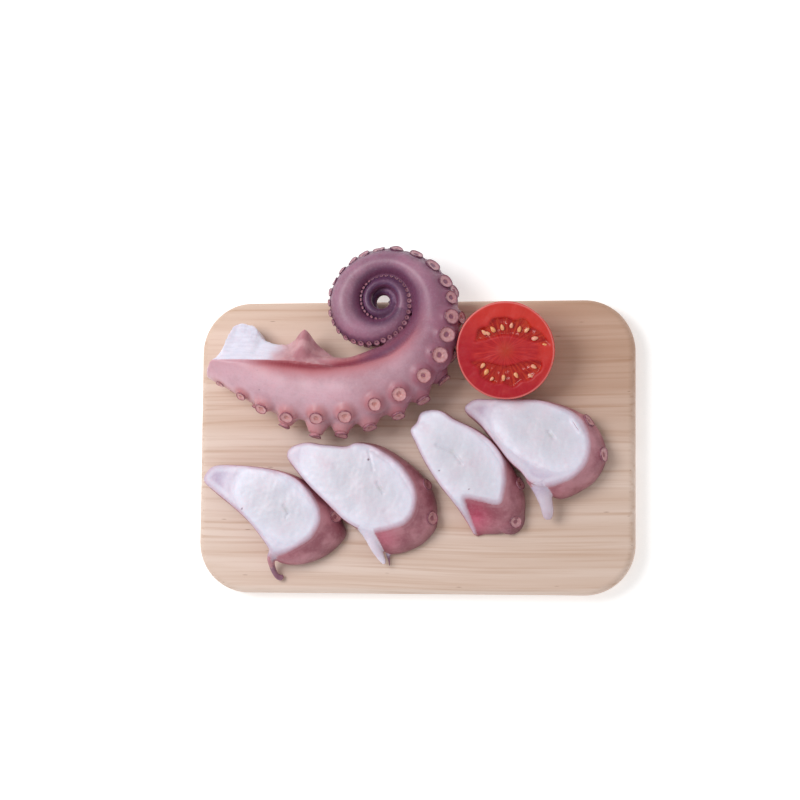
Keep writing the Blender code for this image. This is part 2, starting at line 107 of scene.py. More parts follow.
def feed(tree, socket, value):
    if isinstance(value, bpy.types.NodeSocket):
        tree.links.new(value, socket)
    else:
        socket.default_value = value


def put(tree, kind, **settings):
    node = tree.nodes.new("ShaderNode" + kind)
    for key, value in settings.items():
        setattr(node, key, value)
    return node


def calc(tree, operation, first, second=0.0, third=0.0, clamp=False):
    node = put(tree, "Math", operation=operation, use_clamp=clamp)
    for socket, value in zip(node.inputs, (first, second, third)):
        feed(tree, socket, value)
    return node.outputs[0]


def ease(tree, value, low, high, bottom=0.0, top=1.0):
    # eased step of a value between two limits
    node = put(tree, "MapRange", interpolation_type="SMOOTHSTEP")
    for socket, given in zip(node.inputs, (value, low, high, bottom, top)):
        feed(tree, socket, given)
    return node.outputs[0]


def mix(tree, factor, first, second, mode="MIX"):
    node = put(tree, "Mix", data_type="RGBA", blend_type=mode, clamp_factor=True)
    feed(tree, node.inputs[0], factor)
    feed(tree, node.inputs[6], first)
    feed(tree, node.inputs[7], second)
    return node.outputs[2]


def ramp(tree, factor, *stops):
    node = put(tree, "ValToRGB")
    feed(tree, node.inputs[0], factor)
    marks = node.color_ramp.elements
    while len(marks) < len(stops):
        marks.new(0.5)
    for mark, (place, colour) in zip(marks, stops):
        mark.position = place
        mark.color = colour
    return node.outputs[0]


def objectPlace(tree):
    return put(tree, "TexCoord").outputs["Object"]


def value(tree, name):
    return put(tree, "Attribute", attribute_type="GEOMETRY", attribute_name=name).outputs["Fac"]


def scaled(tree, vector, scale, turn=(0, 0, 0), shift=(0, 0, 0)):
    node = put(tree, "Mapping")
    feed(tree, node.inputs["Vector"], vector)
    node.inputs["Scale"].default_value = scale
    node.inputs["Rotation"].default_value = turn
    node.inputs["Location"].default_value = shift
    return node.outputs[0]


def grain(tree, vector, scale, detail=3.0, rough=0.5, distort=0.0):
    node = put(tree, "TexNoise")
    feed(tree, node.inputs["Vector"], vector)
    node.inputs["Scale"].default_value = scale
    node.inputs["Detail"].default_value = detail
    node.inputs["Roughness"].default_value = rough
    node.inputs["Distortion"].default_value = distort
    return node.outputs["Fac"]


def cells(tree, vector, scale, feature="F1"):
    node = put(tree, "TexVoronoi", feature=feature)
    feed(tree, node.inputs["Vector"], vector)
    node.inputs["Scale"].default_value = scale
    return node


def relief(tree, height, strength, distance, under=None):
    node = put(tree, "Bump")
    node.inputs["Strength"].default_value = strength
    node.inputs["Distance"].default_value = distance
    feed(tree, node.inputs["Height"], height)
    if under is not None:
        feed(tree, node.inputs["Normal"], under)
    return node.outputs[0]


def finish(name, bm, material, node, smooth=True, crease=None):
    # a finished piece at the origin that rides with the served food
    mesh = bpy.data.meshes.new(name)
    bm.to_mesh(mesh)
    bm.free()
    if smooth:
        mesh.shade_smooth()
    if crease is not None:
        mesh.set_sharp_from_angle(angle=math.radians(crease))
    made = bpy.data.objects.new(name, mesh)
    made.data.materials.append(material)
    bpy.context.scene.collection.objects.link(made)
    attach(made, "root")
    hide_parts(node)
    print(name, "has", sum(len(p.vertices) - 2 for p in mesh.polygons), "triangles")
    return made


def fused(bm, voxel, passes):
    # overlapping closed shapes grown into one skin, then softened
    mesh = bpy.data.meshes.new("rough")
    bm.to_mesh(mesh)
    bm.free()
    rough = bpy.data.objects.new("rough", mesh)
    bpy.context.scene.collection.objects.link(rough)
    grow = rough.modifiers.new("fuse", "REMESH")
    grow.mode = "VOXEL"
    grow.voxel_size = voxel * mm
    solid = bpy.data.meshes.new_from_object(rough.evaluated_get(bpy.context.evaluated_depsgraph_get()))
    bpy.data.objects.remove(rough, do_unlink=True)
    made = bmesh.new()
    made.from_mesh(solid)
    bpy.data.meshes.remove(solid)
    bpy.data.meshes.remove(mesh)
    for _ in range(passes):
        bmesh.ops.smooth_vert(made, verts=made.verts, factor=0.5, use_axis_x=True, use_axis_y=True,
                              use_axis_z=True)
    return made


turnedForms = {}


def turned(bm, profile, steps, place):
    # adds a closed round form from (radius, height) pairs that start and end on the axis,
    # and gives back its points with where each was before it was placed
    key = (tuple(profile), steps)
    if key not in turnedForms:
        form = bmesh.new()
        verts = [form.verts.new((radius, 0, height)) for radius, height in profile]
        edges = [form.edges.new(pair) for pair in zip(verts, verts[1:])]
        bmesh.ops.spin(form, geom=verts + edges, cent=(0, 0, 0), axis=(0, 0, 1), dvec=(0, 0, 0),
                       angle=math.tau, steps=steps, use_merge=True, use_duplicate=False)
        bmesh.ops.remove_doubles(form, verts=form.verts, dist=1e-6)
        bmesh.ops.recalc_face_normals(form, faces=form.faces)
        turnedForms[key] = bpy.data.meshes.new("turnedForm")
        form.to_mesh(turnedForms[key])
        form.free()
    first = len(bm.verts)
    bm.from_mesh(turnedForms[key])
    bm.verts.ensure_lookup_table()
    made = bm.verts[first:]
    placed = [(v, v.co.copy()) for v in made]
    bmesh.ops.transform(bm, matrix=place, verts=made)
    return placed


stage = {
    "eye": (0.1840, -0.0869, 1.2990),
    "right": (0.98896, 0.00947, -0.14785),
    "up": (0.00370, 0.99607, 0.08852),
    "lens": 98.6,
    "skyStrength": 0.56,
    "lampPower": 5.2,
    "lampPlace": (-0.50, 0.22, 0.90),
    "lampSize": 0.55,
    "floorGlow": 0.35,
}


def setStage():
    right, up = Vector(stage["right"]).normalized(), Vector(stage["up"])
    back = right.cross(up).normalized()
    up = back.cross(right)
    turn = Matrix((right, up, back)).transposed().to_4x4()
    camera = bpy.data.objects.new("camera", bpy.data.cameras.new("camera"))
    camera.matrix_world = Matrix.Translation(stage["eye"]) @ turn
    camera.data.lens = stage["lens"]
    camera.data.sensor_width = 36
    bpy.context.scene.collection.objects.link(camera)
    bpy.context.scene.camera = camera

    lamp = bpy.data.objects.new("softLamp", bpy.data.lights.new("softLamp", "AREA"))
    lamp.data.shape = "DISK"
    lamp.data.size = stage["lampSize"]
    lamp.data.energy = stage["lampPower"]
    lamp.location = stage["lampPlace"]
    lamp.rotation_euler = (-Vector(stage["lampPlace"])).to_track_quat("-Z", "Y").to_euler()
    bpy.context.scene.collection.objects.link(lamp)

    world = bpy.data.worlds.new("paleStudio")
    world.use_nodes = True
    sky = world.node_tree.nodes["Background"]
    sky.inputs["Color"].default_value = (1.0, 1.0, 1.0, 1.0)
    sky.inputs["Strength"].default_value = stage["skyStrength"]
    bpy.context.scene.world = world
    bpy.context.scene.view_settings.view_transform = "Standard"

    bm = bmesh.new()
    bmesh.ops.create_grid(bm, x_segments=1, y_segments=1, size=3.0)
    mesh = bpy.data.meshes.new("floor")
    bm.to_mesh(mesh)
    bm.free()
    floor = bpy.data.objects.new("floor", mesh)
    paper, tree, shader = newMaterial("palePaper", Roughness=0.9)
    shader.inputs["Specular IOR Level"].default_value = 0.1
    cloud = grain(tree, objectPlace(tree), 3.0)
    feed(tree, shader.inputs["Base Color"],
         ramp(tree, cloud, (0.3, (0.93, 0.93, 0.93, 1)), (0.7, (0.96, 0.96, 0.96, 1))))
    shader.inputs["Emission Color"].default_value = (1.0, 1.0, 1.0, 1.0)
    shader.inputs["Emission Strength"].default_value = stage["floorGlow"]
    floor.data.materials.append(paper)
    bpy.context.scene.collection.objects.link(floor)
    print("camera, light and floor are set")


setStage()


board = {
    "farPaintedShade": (232, 220, 208),
    "cornerPaintedShade": (206, 186, 172),
    "size": (260.0, 174.0, 16.0),
    "corner": 30.0,
    "edge": 4.2,
    "wood": (209, 182, 165),
    "pale": (222, 200, 187),
    "streak": (184, 146, 118),
    "fleck": (140, 100, 76),
}


def woodMaterial():
    made, tree, shader = newMaterial("paleWood", Roughness=0.55)
    place = objectPlace(tree)
    bend = grain(tree, scaled(tree, place, (3, 9, 9)), 1.0, 2.0)
    bent = put(tree, "VectorMath", operation="ADD")
    feed(tree, bent.inputs[0], place)
    lift = put(tree, "CombineXYZ")
    feed(tree, lift.inputs["Y"], calc(tree, "MULTIPLY", bend, 0.02))
    feed(tree, bent.inputs[1], lift.outputs[0])
    along = bent.outputs[0]
    broad = grain(tree, scaled(tree, along, (3.0, 70, 70)), 1.0, 3.0, 0.55)
    lines = grain(tree, scaled(tree, along, (6.0, 420, 420)), 1.0, 4.0, 0.6)
    fine = grain(tree, scaled(tree, along, (40.0, 1800, 1800)), 1.0, 2.0, 0.6)
    body = mix(tree, ease(tree, broad, 0.35, 0.68), hue(*board["pale"]), hue(*board["wood"]))
    body = mix(tree, ease(tree, lines, 0.46, 0.78, 0.0, 0.62), body, hue(*board["streak"]))
    body = mix(tree, ease(tree, fine, 0.55, 0.8, 0.0, 0.22), body, hue(*board["streak"]))
    fleck = cells(tree, scaled(tree, along, (70, 480, 480)), 1.0)
    dark = ease(tree, fleck.outputs["Distance"], 0.17, 0.05)
    chosen = put(tree, "SeparateColor")
    feed(tree, chosen.inputs[0], fleck.outputs["Color"])
    dark = calc(tree, "MULTIPLY", dark, ease(tree, chosen.outputs[0], 0.86, 0.9, 0.0, 0.6))
    body = mix(tree, dark, body, hue(*board["fleck"]))
    parts = put(tree, "SeparateXYZ")
    feed(tree, parts.inputs[0], place)
    # painted shade: the wood darkens towards the back, and more at the far right corner, where the light falls off
    far = ease(tree, parts.outputs["Y"], 0.0, 0.07)
    body = mix(tree, calc(tree, "MULTIPLY", far, 0.5), body, hue(*board["farPaintedShade"]), "MULTIPLY")
    corner = calc(tree, "MULTIPLY", ease(tree, parts.outputs["X"], 0.02, 0.10),
                  ease(tree, parts.outputs["Y"], -0.02, 0.05))
    body = mix(tree, calc(tree, "MULTIPLY", corner, 0.75), body, hue(*board["cornerPaintedShade"]), "MULTIPLY")
    feed(tree, shader.inputs["Base Color"], body)
    feed(tree, shader.inputs["Roughness"], ease(tree, lines, 0.3, 0.8, 0.5, 0.66))
    height = calc(tree, "ADD", calc(tree, "MULTIPLY", lines, -0.6), calc(tree, "MULTIPLY", fine, -0.5))
    feed(tree, shader.inputs["Normal"], relief(tree, height, 0.25, 0.0003))
    return made


def makeBoard():
    bm = bmesh.new()
    bmesh.ops.create_cube(bm, size=1.0)
    size = Vector(board["size"]) * mm
    bmesh.ops.scale(bm, vec=size, verts=bm.verts)
    bmesh.ops.translate(bm, vec=(0, 0, size.z / 2), verts=bm.verts)
    upright = [e for e in bm.edges if abs(e.verts[0].co.z - e.verts[1].co.z) > size.z / 2]
    bmesh.ops.bevel(bm, geom=upright, offset=board["corner"] * mm, offset_type="OFFSET",
                    affect="EDGES", segments=28, profile=0.5, material=-1)
    rims = [e for e in bm.edges if abs(e.verts[0].co.z - e.verts[1].co.z) < 1e-6
            and any(abs(f.normal.z) > 0.9 for f in e.link_faces)]
    bmesh.ops.bevel(bm, geom=rims, offset=board["edge"] * mm, offset_type="OFFSET",
                    affect="EDGES", segments=8, profile=0.5, material=-1)
    return finish("servingBoard", bm, woodMaterial(), "board", crease=40)


makeBoard()


arm = {
    "eye": (-18.0, 85.0),      # middle of the coil
    "start": 196.5,            # degrees about the eye
    "end": 1475.0,
    "stations": 620,
    "sides": 72,
    "baseEnd": 262.0,
    "cutFades": (292.0, 256.0),
    "cutPoint": (-80.0, 47.6, 54.0),
    "cutNormal": (0.02, 0.81, 0.586),
    "voxel": 0.7,
    # all keyed by the angle
    "radius": (
        (190, 110.3), (197, 97.0), (203, 88.8), (210, 81.9), (220, 74.0), (230, 67.0), (240, 61.4),
        (250, 57.0), (260, 53.0), (270, 49.2), (285, 45.0), (300, 41.4), (330, 36.2), (360, 31.0),
        (390, 27.4), (420, 24.7), (450, 22.6), (480, 21.3), (510, 21.4), (540, 22.0), (570, 21.8),
        (600, 19.9), (630, 17.3), (660, 15.2), (690, 13.5), (720, 12.8), (750, 12.7), (780, 12.2),
        (810, 11.0), (840, 9.9), (870, 9.0), (900, 8.3), (945, 7.8), (990, 7.5), (1080, 7.4),
        (1170, 7.1), (1260, 6.7), (1350, 6.0), (1420, 4.6), (1475, 2.7),
    ),
    "halfWidth": (
        (196, 19.8), (250, 19.4), (270, 18.6), (300, 15.4), (330, 12.4), (360, 10.3), (390, 8.7),
        (420, 7.8), (450, 7.4), (480, 7.8), (510, 8.3), (540, 8.8), (570, 8.7), (600, 8.1),
        (630, 7.2), (660, 6.0), (690, 4.9), (720, 3.9), (765, 3.5), (810, 3.0), (855, 2.8),
        (900, 2.7), (945, 2.8), (990, 2.8), (1080, 2.9), (1170, 2.8), (1260, 2.5), (1350, 1.8), (1475, 0.9),
    ),
    "halfHeight": (
        (196, 19.2), (250, 18.9), (270, 18.5), (300, 16.8), (330, 15.0), (360, 13.5), (405, 11.5),
        (450, 10.0), (540, 9.2), (630, 7.5), (720, 5.2), (810, 5.2), (900, 5.0), (990, 4.8),
        (1080, 4.6), (1170, 4.2), (1260, 3.6), (1350, 2.8), (1475, 1.2),
    ),
    "innerSwell": ((196, 0.0), (250, 0.5), (280, 2.6), (330, 3.2), (360, 2.0), (390, 1.1), (420, 0.2),
                   (480, 0.0), (510, 0.5), (540, 1.4), (570, 1.8), (600, 1.3), (630, 0.3), (690, 0.0), (900, 0.0)),
    "height": (
        (196, 19.9), (270, 19.7), (300, 19.3), (330, 18.5), (360, 17.5), (405, 16.2), (450, 15.5),
        (540, 14.5), (630, 15.0), (720, 15.5), (810, 16.6), (900, 17.2), (945, 17.2), (990, 16.6), (1080, 13.2),
        (1170, 9.8), (1260, 7.4), (1350, 5.4), (1475, 3.8),
    ),
    "tone": (
        (196, 0.0), (240, 0.04), (270, 0.16), (300, 0.36), (330, 0.5), (360, 0.62), (400, 0.8),
        (440, 0.88), (480, 0.84), (540, 0.8), (600, 0.85), (680, 0.9), (740, 0.95), (800, 1.0), (1475, 1.0),
    ),
    "foldLine": ((196, 80), (205, 90), (214, 110), (226, 130), (244, 138), (257, 138.6), (267, 136.8),
                 (278, 135.3), (292, 129.5), (305, 129.8), (319, 132), (333, 128), (345, 122)),
    "crease": ((-114.0, 47.6, 0.2), (-96.0, 47.6, 0.25), (-84.0, 47.3, 0.5),
               (-63.0, 44.9, 0.85), (-54.7, 44.3, 1.00), (-46.6, 44.6, 1.00), (-39.8, 45.8, 1.00),
               (-33.1, 46.7, 1.00), (-26.3, 48.4, 0.95), (-18.0, 51.2, 0.85), (-9.8, 55.1, 0.70),
               (-3.6, 60.5, 0.55), (1.0, 66.5, 0.40), (4.4, 72.4, 0.20)),
    "foldForce": ((196, 0.25), (214, 0.4), (226, 0.75), (236, 1.0), (250, 1.0), (270, 1.0),
                  (290, 0.9), (306, 0.75), (320, 0.6), (345, 0.0), (1120, 0.0)),
}

suckers = {
    # the large ones one by one: angle, tilt up from level, length of the stalk, radius
    "upperRow": (
        (201.0, 14, 0.6, 2.8), (209.4, 27, 2.2, 3.4), (217.2, 30, 4.1, 4.1), (226.1, 30, 4.4, 4.3),
        (238.1, 38, 4.3, 4.5), (250.6, 46, 4.3, 4.5), (265.1, 54, 3.8, 4.5), (279.7, 54, 3.9, 4.7),
        (297.1, 52, 4.2, 4.8), (313.6, 51, 4.2, 5.2), (327.6, 52, 3.9, 5.1), (340.5, 47, 3.8, 4.8),
        (355.9, 34, 3.0, 4.4), (371.0, 27, 2.5, 4.7), (390.5, 16, 1.7, 4.6), (410.0, 11, 1.4, 4.5),
        (431.5, 8, 1.2, 4.4), (451.5, 7, 1.1, 4.1), (469.5, 7, 1.1, 3.8), (486.0, 7, 1.1, 3.5),
        (502.0, 7, 1.1, 3.2), (517.5, 6, 1.1, 2.8), (530.5, 6, 1.1, 2.5),
    ),
    "lowerRow": (
        (205.0, -12, 0.6, 2.6), (214.0, -8, 2.2, 3.3), (224.5, -3, 6.4, 4.0), (236.5, 0, 8.6, 4.2),
        (247.3, 1, 7.0, 4.3), (259.3, 9, 5.2, 4.3), (273.5, 12, 5.2, 4.4), (287.7, 5, 5.2, 4.4),
        (303.6, -8, 5.6, 4.4), (318.0, -6, 3.6, 4.2), (341.8, 10, 4.9, 4.4), (362.0, 6, 3.6, 4.2),
        (380.0, -6, 1.6, 4.2), (400.0, -16, 0.9, 4.2), (421.0, -22, 0.6, 4.1), (442.0, -26, 0.5, 4.0),
        (461.0, -26, 0.5, 3.8), (478.0, -26, 0.5, 3.6), (494.0, -26, 0.5, 3.2), (510.0, -26, 0.5, 2.8),
        (524.0, -24, 0.6, 2.4),
    ),
    # the small ones at their spacing
    "first": 541.0,
    "last": 1010.0,
    "stagger": 0.6,
    "faceTurn": ((196, 11), (370, 11), (410, 17), (540, 20), (600, 16), (1020, 11)),
    "spacing": (
        (541, 4.3), (550, 4.1), (580, 3.6), (640, 3.1), (690, 2.8), (740, 2.45), (800, 2.2),
        (870, 1.8), (920, 1.8), (1020, 2.0),
    ),
    "radius": (
        (541, 2.3), (571, 2.15), (608, 2.0), (654, 1.85), (711, 1.6), (780, 1.35), (880, 1.1),
        (1020, 1.0),
    ),
    "upperTilt": ((541, 3), (580, 14), (610, 30), (640, 38), (700, 42), (740, 44), (810, 38),
                  (900, 30), (960, 38), (1020, 30)),
    "lowerTilt": ((541, -16), (580, -12), (610, -2), (640, 4), (700, 4), (740, 0), (810, -6),
                  (900, -8), (1020, -8)),
    "stalk": ((541, 1.1), (590, 1.0), (620, 1.0), (700, 1.3), (760, 1.3), (1020, 1.1)),
    # radius and height from the stalk's root, round the rim and into the cup, in sucker radii
    "profile": (
        (0.0, -0.60), (0.70, -0.60), (0.78, -0.44), (0.89, -0.27), (0.98, -0.13), (1.0, -0.04),
        (0.975, 0.02), (0.93, 0.035), (0.88, 0.005), (0.80, -0.045), (0.62, -0.08), (0.48, -0.095),
        (0.43, -0.08), (0.37, -0.12), (0.30, -0.20), (0.16, -0.235), (0.0, -0.20),
    ),
    "smallProfile": (
        (0.0, -0.8), (0.74, -0.8), (0.92, -0.25), (1.0, -0.04), (0.90, 0.04), (0.70, -0.06),
        (0.32, -0.14), (0.0, -0.2),
    ),
}

# the cut face and the web behind the thick end, as one sheet with its edges keyed by x
sheet = {
    "from": -116.5,
    "to": -34.0,
    "columns": 110,
    "rows": 26,
    "ridge": ((-116.5, 48.8), (-72, 48.0), (-50, 45.6), (-26, 43.0)),
    "ridgeHeight": ((-116.5, 50.0), (-110, 53.0), (-90, 54.0), (-72, 52.6), (-50, 49.4), (-34, 44.0)),
    "backEdge": ((-116.5, 48.9), (-114.4, 50.2), (-111.9, 53.6), (-110.6, 58.5), (-109.6, 65.0),
                 (-108.5, 69.1), (-106.9, 72.1), (-103.2, 73.4), (-99.5, 72.4), (-96.7, 72.1),
                 (-93.9, 69.8), (-90.8, 64.6), (-85.6, 61.3), (-79.1, 59.6), (-74.2, 59.5),
                 (-69.6, 62.0), (-66.8, 65.2), (-64.2, 67.5), (-62.6, 68.0), (-60.6, 66.4),
                 (-58.5, 63.2), (-55.7, 59.4), (-51, 55.6), (-46.8, 52.6), (-41, 49.8), (-34, 46.0)),
    "backHeight": ((-116.5, 50.0), (-111.9, 46.5), (-110, 40.0), (-108.5, 33.0), (-105, 28.0),
                   (-96.7, 28.0), (-90.8, 32.0), (-79, 35.0), (-70, 35.0), (-62, 35.5), (-52, 34.0),
                   (-46, 34.0), (-34, 37.0)),
    "tent": 3.0,            # rise of the fold that runs out to the web's peak
    "tentAt": -62.5,
    "thickness": 8.0,
    "whiteTo": -88.0,
    "pinkFrom": -72.0,
    "flapFrom": -50.0,
}


def armAxis(angle):
    radius = keyed(arm["radius"], angle)
    turn = math.radians(angle)
    return Vector((arm["eye"][0] + radius * math.cos(turn), arm["eye"][1] + radius * math.sin(turn),
                   boardTop + keyed(arm["height"], angle)))


def armFrame(angle):
    forward = (armAxis(angle + 0.05) - armAxis(angle - 0.05)).normalized()
    outward = forward.cross(upAxis).normalized()
    return armAxis(angle), forward, outward, outward.cross(forward)


def armStations(count):
    # angles at equal steps along the axis, as (angle, distance run)
    fineSteps = 3000
    angles = [arm["start"] + (arm["end"] - arm["start"]) * k / fineSteps for k in range(fineSteps + 1)]
    points = [armAxis(a) for a in angles]
    runs = [0.0]
    for a, b in zip(points, points[1:]):
        runs.append(runs[-1] + (b - a).length)
    picked, k = [], 0
    for n in range(count + 1):
        # stations close up towards the thin end
        share = n / count
        wanted = runs[-1] * (1 - (1 - share) ** 1.25)
        while k < fineSteps and runs[k] < wanted:
            k += 1
        picked.append((angles[k], runs[k]))
    return picked


def suckerRow():
    angles, angle = [], suckers["first"]
    while angle < suckers["last"]:
        angles.append(angle)
        speed = (armAxis(angle + 0.5) - armAxis(angle - 0.5)).length
        angle += keyed(suckers["spacing"], angle) / speed
    return angles


def suckerPlaces():
    rows = [(*large, True) for large in suckers["upperRow"]] + [(*large, False) for large in suckers["lowerRow"]]
    small = suckerRow()
    for angle, following in zip(small, small[1:]):
        for tilts, shift in (("upperTilt", 0.0), ("lowerTilt", suckers["stagger"])):
            at = angle + (following - angle) * shift
            rows.append((at, keyed(suckers[tilts], at), keyed(suckers["stalk"], at),
                         keyed(suckers["radius"], at), shift == 0.0))
    places = []
    chance = random.Random(7)
    for at, tilt, stalk, radius, upper in rows:
        centre, forward, outward, upward = armFrame(at)
        tilt = math.radians(tilt + chance.uniform(-1.5, 1.5))
        halfWidth, halfHeight = keyed(arm["halfWidth"], at), keyed(arm["halfHeight"], at)
        skin = 1 / math.hypot(math.cos(tilt) / halfWidth, math.sin(tilt) / halfHeight)
        ray = outward * math.cos(tilt) + upward * math.sin(tilt)
        facing = tilt + math.radians(keyed(suckers["faceTurn"], at) + chance.uniform(-6, 6))
        normal = outward * math.cos(facing) + upward * math.sin(facing)
        normal = (normal + forward * chance.uniform(-0.12, 0.12)).normalized()
        places.append({
            "angle": at, "upper": upper, "normal": normal, "forward": forward,
            "root": centre + ray * (skin - max(0.25 * halfWidth, 0.8 * radius)),
            "face": centre + ray * (skin + stalk),
            "radius": radius * chance.uniform(0.96, 1.04),
            "oval": chance.uniform(0.9, 1.0),
        })
    return places


def addTube(bm):
    # a flat grid wrapped round the axis; returns what each of its points knows
    stations = armStations(arm["stations"])
    sides = arm["sides"]
    frames = [(armFrame(a), keyed(arm["halfWidth"], a), keyed(arm["halfHeight"], a),
               keyed(arm["innerSwell"], a)) for a, _run in stations]
    bmesh.ops.create_grid(bm, x_segments=arm["stations"], y_segments=sides, size=1.0)
    cutPoint, cutNormal = Vector(arm["cutPoint"]), Vector(arm["cutNormal"]).normalized()
    samples = []
    for v in bm.verts:
        n = round((v.co.x + 1) / 2 * arm["stations"])
        around = round((v.co.y + 1) / 2 * sides) * math.tau / sides
        (centre, _forward, outward, upward), halfWidth, halfHeight, swell = frames[n]
        angle, run = stations[n]
        cosine, sine = math.cos(around), math.sin(around)
        ripple = noise.noise(Vector((run * 0.09, cosine * 1.3, sine * 1.3)))
        grow = 1 + 0.018 * ripple
        point = centre + outward * ((halfWidth + swell * max(-cosine, 0)) * cosine * grow)
        point += upward * (halfHeight * sine * grow)
        foldGap = (math.degrees(around) - keyed(arm["foldLine"], angle)) / 57.3 * halfWidth
        if math.degrees(around) > 300:
            foldGap = 90.0
        force = keyed(arm["foldForce"], angle)
        dip = hump(foldGap, 1.5) * force * 1.7 - hump(foldGap - 4.4, 2.2) * force * 0.3
        point -= (outward * cosine + upward * sine) * dip
        # the thick end lies wholly below the long slanting cut
        over = max((point - cutPoint).dot(cutNormal), 0.0) * fade(angle, *arm["cutFades"])
        point -= cutNormal * over
        if point.x < sheet["flapFrom"]:
            point.y = min(point.y, keyed(sheet["backEdge"], point.x) - 0.6)
        point.z = softFloor(point.z, footLevel)
        v.co = point * mm
        samples.append((point, angle, run, cosine, sine))
    bmesh.ops.remove_doubles(bm, verts=bm.verts, dist=1e-6)
    bmesh.ops.holes_fill(bm, edges=[e for e in bm.edges if e.is_boundary], sides=0)
    bmesh.ops.recalc_face_normals(bm, faces=bm.faces)
    return samples


# radius in sucker radii, depth in stalk lengths
stalkProfile = ((0, -1.0), (2.3, -1.0), (2.2, -0.82), (1.9, -0.64), (1.5, -0.46), (1.2, -0.3),
                (1.02, -0.16), (0, -0.12))


def addStalks(body, places):
    # made apart, so that the new points come one after another
    bm = bmesh.new()
    for p in places:
        if p["radius"] < 1.2:
            continue
        stem = p["face"] - p["root"]
        length = stem.length
        turn = upAxis.rotation_difference(p["normal"]).to_matrix().to_4x4()
        r = p["radius"]
        size = Matrix.Diagonal((r * mm, r * mm, length * mm, 1))
        placed = turned(bm, stalkProfile, 20, Matrix.Translation(p["face"] * mm) @ turn @ size)
        # the stalk leans so that its foot stays on the arm
        shift = (p["root"] - (p["face"] - p["normal"] * length)) * mm
        for v, local in placed:
            v.co += shift * min(-local.z, 1.0)
    mesh = bpy.data.meshes.new("stalks")
    bm.to_mesh(mesh)
    bm.free()
    body.from_mesh(mesh)
    bpy.data.meshes.remove(mesh)


def sheetHeight(x, y):
    # level of the sheet over a point, and how far back on it the point lies
    near, far = keyed(sheet["ridge"], x), keyed(sheet["backEdge"], x)
    top, low = keyed(sheet["ridgeHeight"], x), keyed(sheet["backHeight"], x)
    share = (y - near) / max(far - near, 0.2)
    inner = min(max(share, 0.0), 1.0)
    height = low + (top - low) * (1 - inner) ** 1.1
    height += sheet["tent"] * hump(x - sheet["tentAt"], 4.5) * fade(inner, 0.0, 0.5)
    return height + 0.5 * noise.noise(Vector((x * 0.16, y * 0.16, 9.0))) * fade(inner, 0.05, 0.3), share


def addSheet(bm):
    made = bmesh.ops.create_grid(bm, x_segments=sheet["columns"], y_segments=sheet["rows"], size=1.0)["verts"]
    for v in made:
        x = sheet["from"] + (sheet["to"] - sheet["from"]) * (v.co.x + 1) / 2
        share = (v.co.y + 1) / 2
        near, far = keyed(sheet["ridge"], x), keyed(sheet["backEdge"], x)
        ragged = 0.5 * noise.noise(Vector((x * 0.5, 2.0, 0.0))) * fade(share, 0.6, 1.0)
        y = near + (far - near) * share
        v.co = Vector((x, y + ragged, sheetHeight(x, y)[0])) * mm
    faces = list({f for v in made for f in v.link_faces})
    grown = bmesh.ops.extrude_face_region(bm, geom=faces)["geom"]
    for v in grown:
        if isinstance(v, bmesh.types.BMVert):
            # the meat under the cut reaches the board, the web is a flap
            solid = fade(v.co.x / mm, -84, -92)
            low = max(v.co.z - sheet["thickness"] * mm, (footLevel + 0.2) * mm)
            v.co.z = low + ((footLevel + 0.2) * mm - low) * solid
            v.co.y -= (2.0 + 1.5 * solid) * mm
            v.co.x += 2.0 * solid * mm
    bmesh.ops.recalc_face_normals(bm, faces=bm.faces)


def setValues(bm, names, reader):
    layers = [bm.verts.layers.float.new(name) for name in names]
    for v in bm.verts:
        for layer, given in zip(layers, reader(v.co / mm, v)):
            v[layer] = given


